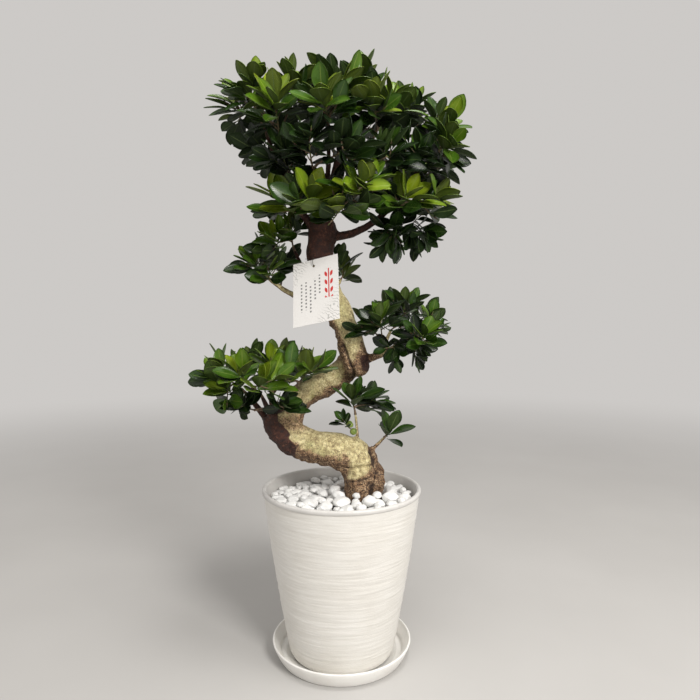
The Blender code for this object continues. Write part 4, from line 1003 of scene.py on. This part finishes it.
def make_trunk():
    """The woody body, remeshed from its node: smooth where it is thick, then roughened."""
    points, faces = node_mesh("trunk")
    trunk = mesh_object("ficus_trunk", points, faces, [])
    remesh = trunk.modifiers.new("remesh", "REMESH")
    remesh.mode = "VOXEL"
    remesh.voxel_size = BARK_CELL
    apply_modifiers(trunk)
    mesh = trunk.data
    points = read_points(mesh)
    average = averager(mesh)
    through = thickness(points, read_normals(mesh), [tuple(p.vertices) for p in mesh.polygons])
    for _ in range(8):
        through = average(through)
    thick = step(through, 0.006, 0.018)
    creased = points.copy()
    for turn in range(26):
        pull = 0.55 * (thick if turn > 3 else np.maximum(thick, 0.5))
        points = points + (average(points) - points) * pull[:, None]
    write_points(mesh, points)
    normals = read_normals(mesh)
    # how deep each point lies in a crease, for the painted shade in the bark's creases
    crease_shade = np.einsum("ij,ij->i", points - creased, normals) * thick
    for _ in range(3):
        crease_shade = average(crease_shade)
    rough, dark = bark_zones(points, normals)
    muscle = 0.0034 * lumps(points, 19) + 0.0024 * lumps(points, 42, 3.0)
    warts = 0.0020 * lumps(points, 100, 7.0) + 0.0010 * lumps(points, 210, 2.0)
    folds = 0.0042 * (0.30 - np.abs(lumps(points, 48, 13.0)))
    detail = warts * (0.15 + rough) + folds * (0.25 + 0.75 * rough) + base_relief(points)
    swell = (muscle + detail) * thick + 0.0003 * lumps(points, 160, 1.0) * (1 - thick)
    crease_shade = crease_shade + np.clip(-detail - 0.0004, 0, 0.0025) * (0.5 + 0.5 * rough) * thick
    write_points(mesh, points + normals * swell[:, None])
    mesh.materials.append(bark_material())
    set_attribute(trunk, "bark_rough", rough)
    set_attribute(trunk, "bark_dark", dark)
    set_attribute(trunk, "bark_crease_shade", np.clip(crease_shade / CREASE_SHADE_DEPTH, 0, 1))
    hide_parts("trunk")


def valley(distance, width):
    """1 in the middle of a valley, falling to 0 outside its width."""
    return np.exp(-((distance / width) ** 2))


def base_relief(points):
    """Root ridges and level creases where the trunk leaves the stones, and the fold at its knee."""
    x, y, z = points[:, 0], points[:, 1], points[:, 2] - RIM_Z
    low = step(-z, -0.085, -0.045) * step(x, -0.015, 0.010)
    ropes = 0.0050 * (0.35 - np.abs(lumps(points, (62, 62, 9), 21.0))) * low
    creases = -0.0036 * valley(z - 0.046 - 0.12 * (x - 0.045), 0.0028)
    creases -= 0.0032 * valley(z - 0.020 - 0.20 * (x - 0.035), 0.0025)
    creases *= step(-y, -0.005, 0.010) * step(x, 0.002, 0.012) * step(-x, -0.066, -0.052)
    groove = 0.052 + 0.30 * np.clip(0.045 - np.abs(z - 0.03), 0, 0.045)
    rope_side = -0.0048 * valley(x - groove, 0.0034) * step(-z, -0.088, -0.060) * step(-y, -0.01, 0.01)
    knee = segment_distance(x, z, (0.001, 0.268), (0.024, 0.214))
    return ropes + creases + rope_side - 0.0045 * valley(knee, 0.0034) * step(-y, -0.012, 0.004)


def segment_distance(x, z, start, end):
    """How far each point is from a line between two others, all seen from the front."""
    start, end = np.array(start), np.array(end)
    along = end - start
    share = np.clip(((x - start[0]) * along[0] + (z - start[1]) * along[1]) / (along @ along), 0, 1)
    return np.hypot(x - start[0] - share * along[0], z - start[1] - share * along[1])


def bark_zones(points, normals):
    """How rough and brown, and how dark and old, the bark is at each point, from 0 to 1."""
    x, y, z = points[:, 0], points[:, 1], points[:, 2] - RIM_Z
    facing = normals[:, 2] * 0.8 - normals[:, 0] * 0.15 - normals[:, 1] * 0.25
    wobble = 0.014 * lumps(points, 26, 11.0) + 0.007 * lumps(points, 70, 15.0)
    sweep = facing + 24 * wobble
    low = step(-z, -0.165, -0.135)
    under = low * step(-sweep, -0.42, 0.10) + (1 - low) * step(-sweep, -0.25, 0.45)
    base = step(-(z + wobble), -0.036, -0.010) * step(x, -0.01, 0.01)
    band = step(z + wobble, 0.018, 0.030) * step(-z - wobble, -0.062, -0.046) * step(x, 0.005, 0.02)
    under = under * (1 - 0.7 * band * step(-x, -0.055, -0.045))
    knee = step(-(z + 2 * wobble), -0.285, -0.235) * step(z, 0.195, 0.215) * step(x + wobble, 0.0, 0.012)
    left_edge = step(-normals[:, 0], 0.25, 0.80) * step(z, 0.22, 0.25) * step(-z, -0.40, -0.34)
    socket = step(-(x + wobble), -0.02, 0.075) * step(-z, -0.155, -0.130) * step(z, 0.10, 0.12)
    rope = step(x - 0.30 * (0.03 - np.abs(z - 0.03)), 0.050, 0.058) * step(-z, -0.095, -0.070)
    rough = np.clip(np.maximum.reduce([under, base, knee, left_edge * 0.85, socket * 0.6, rope]), 0, 1)
    stub = step(-(x + 0.35 * (z - 0.10) + wobble), 0.091, 0.104) * step(-z, -0.22, -0.19)
    stub = stub * step(-y, -0.030, -0.012)
    top = step(z + wobble * 1.5, 0.405, 0.432)
    limbs = step(z, 0.44, 0.46)
    scar = step(-np.hypot(x - 0.045, z - 0.236), -0.022, -0.012) * step(normals[:, 0], 0.1, 0.6)
    return rough, np.clip(np.maximum.reduce([stub, top, limbs * 0.8, scar * 0.7, rope * 0.35]), 0, 1)


# ---------------------------------------------------------------- leaves


class Crowd:
    """The surfaces already in place, so that what comes next can stay clear of them."""

    def __init__(self):
        self.lows = np.zeros((0, 3))
        self.highs = np.zeros((0, 3))
        self.trees = []

    def add(self, points, faces):
        flat = as_array(points)
        self.lows = np.vstack([self.lows, flat.min(0)])
        self.highs = np.vstack([self.highs, flat.max(0)])
        self.trees.append(tree_of(points, faces))

    def is_clear(self, points, faces):
        flat = as_array(points)
        near = np.all((self.lows <= flat.max(0)) & (self.highs >= flat.min(0)), axis=1)
        if not near.any():
            return True
        tree = tree_of(points, faces)
        return not any(self.trees[k].overlap(tree) for k in np.nonzero(near)[0])


class Skin:
    """Points, faces and marks of one leafy piece, gathered before its mesh is made."""

    def __init__(self):
        self.points = []
        self.faces = []
        self.slots = []
        self.places = []
        self.youths_and_shades = []

    def add(self, points, faces, slots, places, youth_and_shade):
        """Takes in some faces with their material slots, and their points with their marks."""
        start = len(self.points)
        self.points += points
        self.faces += [tuple(start + k for k in face) for face in faces]
        self.slots += slots
        self.places += places
        self.youths_and_shades += [youth_and_shade] * len(points)

    def make(self, name, materials):
        piece = mesh_object(name, self.points, self.faces, materials)
        piece.data.polygons.foreach_set("material_index", self.slots)
        set_attribute(piece, "blade_place", self.places, "FLOAT_VECTOR")
        set_attribute(piece, "leaf_youth_and_shade", self.youths_and_shades)
        return piece


def blade_faces():
    """The faces of a thin closed blade: an upper and a lower grid, and a rim that joins them."""
    rows, lanes = len(LEAF_OUTLINE), len(LEAF_LANES)
    count = rows * lanes
    faces, slots = [], []
    for i in range(rows - 1):
        for j in range(lanes - 1):
            a = i * lanes + j
            faces.append((a, a + 1, a + lanes + 1, a + lanes))
            faces.append((count + a, count + a + lanes, count + a + lanes + 1, count + a + 1))
            slots += [BLADE_TOP, BLADE_UNDER]
    rim = [i * lanes for i in range(rows)]
    rim += [(rows - 1) * lanes + j for j in range(1, lanes)]
    rim += [i * lanes + lanes - 1 for i in range(rows - 2, -1, -1)]
    rim += list(range(lanes - 2, 0, -1))
    for a, b in zip(rim, rim[1:] + rim[:1]):
        faces.append((b, a, count + a, count + b))
        slots.append(BLADE_TOP)
    return faces, slots


def hull_faces():
    """The faces of a leaf's coarse copy: two grids, of its upper and its lower face."""
    rows, lanes = len(HULL_SHARES), len(HULL_LANES)
    faces = []
    for sheet in range(2):
        for row in range(rows - 1):
            for lane in range(lanes - 1):
                a = (sheet * rows + row) * lanes + lane
                faces.append((a, a + 1, a + lanes + 1, a + lanes))
    return faces


BLADE_FACES, BLADE_SLOTS = blade_faces()
HULL_FACES = hull_faces()


class Leaf:
    """One blade: its start, the way it points, the way its face looks, its size and its curl."""

    def __init__(self, base, along, face, length, width, curl, cup, ripple, youth_and_shade):
        self.base = base
        self.along = along.normalized()
        self.face = (face - self.along * face.dot(self.along)).normalized()
        self.length = length
        self.width = width
        self.curl = curl
        self.cup = cup
        self.ripple = ripple
        self.youth_and_shade = youth_and_shade

    def point(self, share, across, half_width, drop=0.0):
        """A point of the blade, whose middle line bends as an arc by the curl."""
        side = self.face.cross(self.along)
        bend = self.curl * share
        if abs(self.curl) > 1e-4:
            forward = math.sin(bend) / self.curl
            sag = (1 - math.cos(bend)) / self.curl
        else:
            forward, sag = share, 0
        normal = self.face * math.cos(bend) + self.along * math.sin(bend)
        middle = self.base + (self.along * forward - self.face * sag) * self.length
        lift = self.cup * abs(across) ** 1.6 * half_width
        lift -= MIDRIB_DEPTH * (across == 0) * min(1, half_width / 0.006)
        lift += self.ripple * abs(across) * math.sin(share * 11 + self.ripple * 9000)
        return middle + side * (across * half_width) + normal * (lift - drop)

    def hull(self):
        """A coarse upper and lower face of the blade, past its stalk."""
        points = []
        for drop in (-HULL_MARGIN, LEAF_THICKNESS + HULL_MARGIN):
            for share in HULL_SHARES:
                half = self.width / 2 * np.interp(share, *zip(*LEAF_OUTLINE)) + HULL_MARGIN
                points += [self.point(share, across, half, drop) for across in HULL_LANES]
        return points, HULL_FACES

    def draw(self, skin):
        """Adds the blade, as fine as it is seen, to a spray's skin."""
        upper, lower, places = [], [], []
        for share, width in LEAF_OUTLINE:
            half = self.width / 2 * width
            for across in LEAF_LANES:
                upper.append(self.point(share, across, half))
                lower.append(self.point(share, across, half, LEAF_THICKNESS))
                places.append((across, share, 0))
        skin.add(upper + lower, BLADE_FACES, BLADE_SLOTS, places * 2, self.youth_and_shade)


def tube(skin, centres, radii, sides, youth_and_shade):
    """A capped round stem along some centres."""
    points, faces, places = [], [], []
    across = (centres[1] - centres[0]).orthogonal()
    last = len(centres) - 1
    for i, centre in enumerate(centres):
        along = (centres[min(i + 1, last)] - centres[max(i - 1, 0)]).normalized()
        across = (across - along * across.dot(along)).normalized()
        upright = along.cross(across)
        for k in range(sides):
            angle = TURN * k / sides
            points.append(centre + (across * math.cos(angle) + upright * math.sin(angle)) * radii[i])
            places.append((math.cos(angle), i / last, 0))
    for i in range(last):
        for k in range(sides):
            a, b = i * sides + k, i * sides + (k + 1) % sides
            faces.append((a, b, b + sides, a + sides))
    faces.append(tuple(range(sides - 1, -1, -1)))
    faces.append(tuple(range(last * sides, (last + 1) * sides)))
    skin.add(points, faces, [TWIG] * len(faces), places, youth_and_shade)


def curve(start, leave, tip, arrive, steps):
    """Points of a cubic from a start to a tip, leaving and arriving in given directions."""
    reach = (tip - start).length * 0.38
    first, second = start + leave * reach, tip - arrive * reach
    path = []
    for k in range(steps + 1):
        t = k / steps
        near, far = 3 * t * (1 - t) ** 2, 3 * t**2 * (1 - t)
        path.append(start * (1 - t) ** 3 + first * near + second * far + tip * t**3)
    return path


def along_path(path, share):
    """The point and direction at a share of a path's points."""
    at = min(max(share, 0), 1) * (len(path) - 1)
    i = min(int(at), len(path) - 2)
    return path[i].lerp(path[i + 1], at - i), (path[i + 1] - path[i]).normalized()


def rosette(skin, crowd, tip, axis, size, count, youth_and_shade, droop, chance):
    """Leaves in a spiral round a shoot's end, the lowest old and wide, the last a pointed bud."""
    out = axis.orthogonal().normalized()
    turn = chance.uniform(0, TURN)
    low_pitch = LOW_PITCH + 16 * max(0.0, axis.z)
    for k in range(count):
        share = k / max(1, count - 1)
        base = tip - axis * (ROSETTE_DEPTH * size * (1 - share))
        grown = 0.90 + 0.22 * math.sin(math.pi * min(1, share * 1.1)) - 0.06 * share
        for attempt in range(LEAF_TRIES):
            azimuth = turn + GOLDEN * k + chance.uniform(-0.25, 0.25) + attempt * 0.4
            pitch = math.radians(low_pitch + (HIGH_PITCH - low_pitch) * share + chance.uniform(-9, 9))
            way = Matrix.Rotation(azimuth, 3, axis) @ out
            along = way * math.cos(pitch) + axis * math.sin(pitch)
            along.z = max(along.z, droop + chance.uniform(0, 0.2))
            along.normalize()
            face = axis * math.cos(pitch) - way * math.sin(pitch) + BRIGHT_WAY * (0.35 + 0.45 * share)
            age_and_shade = youth_and_shade + 0.22 * (share - 0.5) + chance.uniform(-0.16, 0.16)
            leaf = Leaf(
                base + way * LEAF_OFFSET, along, face,
                LEAF_LENGTH * size * grown * chance.uniform(0.88, 1.12),
                LEAF_WIDTH * size * grown * chance.uniform(0.88, 1.10),
                chance.uniform(0.10, 0.55) - 0.30 * share, chance.uniform(0.10, 0.30),
                chance.uniform(0.0001, 0.0005), min(1, max(0, age_and_shade)),
            )
            hull = leaf.hull()
            if crowd.is_clear(*hull):
                crowd.add(*hull)
                leaf.draw(skin)
                break
    bud = [tip + axis * (BUD_LENGTH * size * share) for share in (0, 0.25, 0.6, 1.0)]
    radii = [0.0010 * size, 0.0013 * size, 0.0009 * size, 0.0002]
    tube(skin, bud, radii, SHOOT_SIDES, min(1, youth_and_shade + 0.2))


def spray_root(node, wood):
    """Where a spray's node meets the wood, and the way out of the wood there."""
    points, _ = node_mesh(node)
    near = sorted((wood.find_nearest(point)[3], k) for k, point in enumerate(points))[:4]
    root = sum((points[k] for _, k in near), Vector()) / 4
    _, normal, _, _ = wood.find_nearest(root)
    return root, normal


def grow_spray(name, wood, crowd, materials):
    """A spray's shoots, side shoots and rosettes, from its node's place on the wood."""
    size, lift, youth_and_shade, extra, tips = SPRAYS[name]
    in_crown = name.startswith("crown")
    droop = DROOP.get(name, -0.35 if in_crown else -0.12)
    leafy = 0.42 if in_crown else 0.24  # the share of a shoot that has side shoots
    side_leaves = 6 if in_crown else 5
    chance = random.Random(name)
    skin = Skin()
    root, out = spray_root(name, wood)
    first = None
    for x, y, z in tips:
        tip = Vector((x, y, RIM_Z + z))
        start, leave = root - out * ROOT_DEPTH, out
        if first:
            start, leave = along_path(first, FORK)
            leave = (leave * 0.4 + (tip - start).normalized()).normalized()
        arrive = ((tip - start).normalized() * 0.7 + UP * lift).normalized()
        path = curve(start, leave, tip, arrive, SHOOT_STEPS)
        first = first or path
        tube(skin, path, shoot_radii(size), SHOOT_SIDES, youth_and_shade)
        shoots = [(tip, arrive, TIP_LEAVES, youth_and_shade)]
        turn = chance.uniform(0, TURN)
        for k in range(extra):
            fork, along = along_path(path, FIRST_SIDE - leafy * k / extra)
            way = Matrix.Rotation(turn + GOLDEN * k, 3, along) @ along.orthogonal().normalized()
            way = (way + along * 0.55 + UP * 0.35 * lift).normalized()
            end = fork + way * (chance.uniform(*SIDE_LENGTHS) * size)
            arrive = (way + UP * 0.5 * lift).normalized()
            side_path = curve(fork, way, end, arrive, SIDE_STEPS)
            radii = [SIDE_RADIUS * size * (1 - 0.3 * j / SIDE_STEPS) for j in range(SIDE_STEPS + 1)]
            tube(skin, side_path, radii, SIDE_SIDES, youth_and_shade)
            shoots.append((end, arrive, side_leaves, youth_and_shade - 0.16 * (k + 1)))
        for end, axis, count, age_and_shade in shoots:
            rosette(skin, crowd, end, axis, size, count, max(0, age_and_shade), droop, chance)
    piece = skin.make("leaves_" + name, materials)
    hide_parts(name)
    return first


def shoot_radii(size):
    """A shoot's radii: a flare where it leaves the wood, then a slow taper."""
    radii = []
    for k in range(SHOOT_STEPS + 1):
        flare = 0.0009 * max(0, 1 - k / 3)
        radii.append(SHOOT_RADIUS * size * (1 - 0.45 * k / SHOOT_STEPS) + flare)
    return radii


def make_figs(path, material):
    """Three small round figs on short stalks along a shoot."""
    skin = bmesh.new()
    for number, (share, azimuth) in enumerate(FIG_PLACES):
        spot, along = along_path(path, share)
        way = Matrix.Rotation(azimuth, 3, along) @ along.orthogonal().normalized()
        way = (way + UP * 0.2).normalized()
        radius = FIG_RADIUS * (1 - 0.12 * number)
        centre = spot + way * (radius + FIG_STALK)
        turn = way.to_track_quat("Z", "Y").to_matrix().to_4x4()
        ball = bmesh.ops.create_uvsphere(skin, u_segments=24, v_segments=16, radius=radius)["verts"]
        for vert in ball:
            pole = max(0.0, vert.co.z / radius)
            vert.co *= 1 - 0.10 * pole**24
            vert.co.z *= 0.94
        bmesh.ops.transform(skin, matrix=Matrix.Translation(centre) @ turn, verts=ball)
        bmesh.ops.create_cone(
            skin, cap_ends=True, segments=10, radius1=0.0011, radius2=0.0009, depth=0.006,
            matrix=Matrix.Translation(spot + way * 0.0025) @ turn,
        )
    mesh = mesh_of(skin, "green_figs")
    mesh.materials.append(material)
    mesh.shade_smooth()
    figs = add_object("green_figs", mesh)
    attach(figs, "root")


# ---------------------------------------------------------------- card and tie


def make_card():
    """The card: its node's shape with broken edges, and each point's place on its front."""
    points, faces = node_mesh("name_card")
    points = as_array(points)
    offsets = points - points.mean(0)
    corners = [points[np.argmax(offsets @ way)] for way in card_directions(offsets)]
    low_left, low_right, high_left = corners
    across = Vector(low_right - low_left)
    upward = Vector(high_left - low_left)
    normal = across.cross(upward).normalized()
    card = mesh_object("name_card_printed", points, faces, [card_material()])
    bevel = card.modifiers.new("bevel", "BEVEL")
    bevel.width = CARD_BEVEL
    bevel.segments = 2
    apply_modifiers(card)
    places = []
    for point in read_points(card.data):
        offset = Vector(point) - Vector(low_left)
        u = offset.dot(across) / across.length_squared * 2 - 1
        v = offset.dot(upward) / upward.length_squared * 2 - 1
        places.append((u, v, 1.0 if offset.dot(normal) > -CARD_SKIN else 0.0))
    set_attribute(card, "card_place", places, "FLOAT_VECTOR")
    card.data.shade_flat()
    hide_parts("name_card")


def card_directions(offsets):
    """Directions that pick out the card's front corners: low left, low right, high left."""
    _, _, axes = np.linalg.svd(offsets, full_matrices=False)
    long_way = axes[0] * np.sign(axes[0][2])
    wide_way = axes[1] * np.sign(axes[1][0])
    facing = np.cross(wide_way, long_way)
    facing = facing * np.sign(-facing[1]) * 0.2
    corners = (-long_way - wide_way, -long_way + wide_way, long_way - wide_way)
    return [corner + facing for corner in corners]


def make_tie():
    """The tie wire, rounded from its node."""
    points, faces = node_mesh("card_tie")
    tie = mesh_object("card_tie_wire", points, faces, [wire_material()])
    smooth = tie.modifiers.new("smooth", "SUBSURF")
    smooth.levels = smooth.render_levels = 2
    apply_modifiers(tie)
    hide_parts("card_tie")


# ---------------------------------------------------------------- floor, light, camera


def make_stage():
    """A wide pale floor, which isn't part of the object."""
    skin = bmesh.new()
    bmesh.ops.create_grid(skin, x_segments=8, y_segments=8, size=80)
    mesh = mesh_of(skin, "pale_floor")
    mesh.materials.append(floor_material())
    floor = add_object("pale_floor", mesh)
    floor.location = (0, 0, -0.0005)


def area_light(name, place, aim, size, power, colour):
    """A round light, aimed at a point."""
    light = bpy.data.lights.new(name, "AREA")
    light.shape = "DISK"
    light.size = size
    light.energy = power
    light.color = colour
    lamp = add_object(name, light)
    lamp.location = place
    lamp.rotation_euler = (Vector(aim) - Vector(place)).to_track_quat("-Z", "Y").to_euler()


def make_lights():
    """A large soft key light from the front right, a weaker one from above, and a pale room."""
    middle = (0, 0, 0.60)
    area_light("key", (1.15, -1.95, 1.75), middle, 0.8, 50, (1.0, 0.975, 0.94))
    area_light("overhead", (0.3, -0.5, 2.7), middle, 0.8, 26, (1.0, 0.98, 0.95))
    world = bpy.data.worlds.new("pale_room")
    world.use_nodes = True
    background = world.node_tree.nodes["Background"]
    background.inputs["Color"].default_value = (*ROOM_COLOUR, 1)
    background.inputs["Strength"].default_value = ROOM_STRENGTH
    bpy.context.scene.world = world
    bpy.context.scene.view_settings.view_transform = "Standard"


def make_camera():
    """Eye level with the middle of the tree, looking down by three degrees."""
    camera = bpy.data.cameras.new("camera")
    camera.lens = CAMERA_LENS
    camera.sensor_width = 36
    seat = add_object("camera", camera)
    seat.location = CAMERA_PLACE
    seat.rotation_euler = (TURN / 4 - CAMERA_TILT, 0, 0)
    bpy.context.scene.camera = seat


def main():
    make_camera()
    make_lights()
    make_stage()
    make_pot()
    make_saucer()
    make_soil()
    make_pebbles(pebble_material())
    make_trunk()
    make_card()
    make_tie()
    wood = tree_of(*node_mesh("trunk"))
    crowd = Crowd()
    for node in ("trunk", "name_card", "pot"):
        crowd.add(*node_mesh(node))
    leafy = [leaf_material(), underside_material(), twig_material()]
    for name in SPRAYS:
        path = grow_spray(name, wood, crowd, leafy)
        if name == FIG_SPRAY:
            make_figs(path, fig_material())


main()
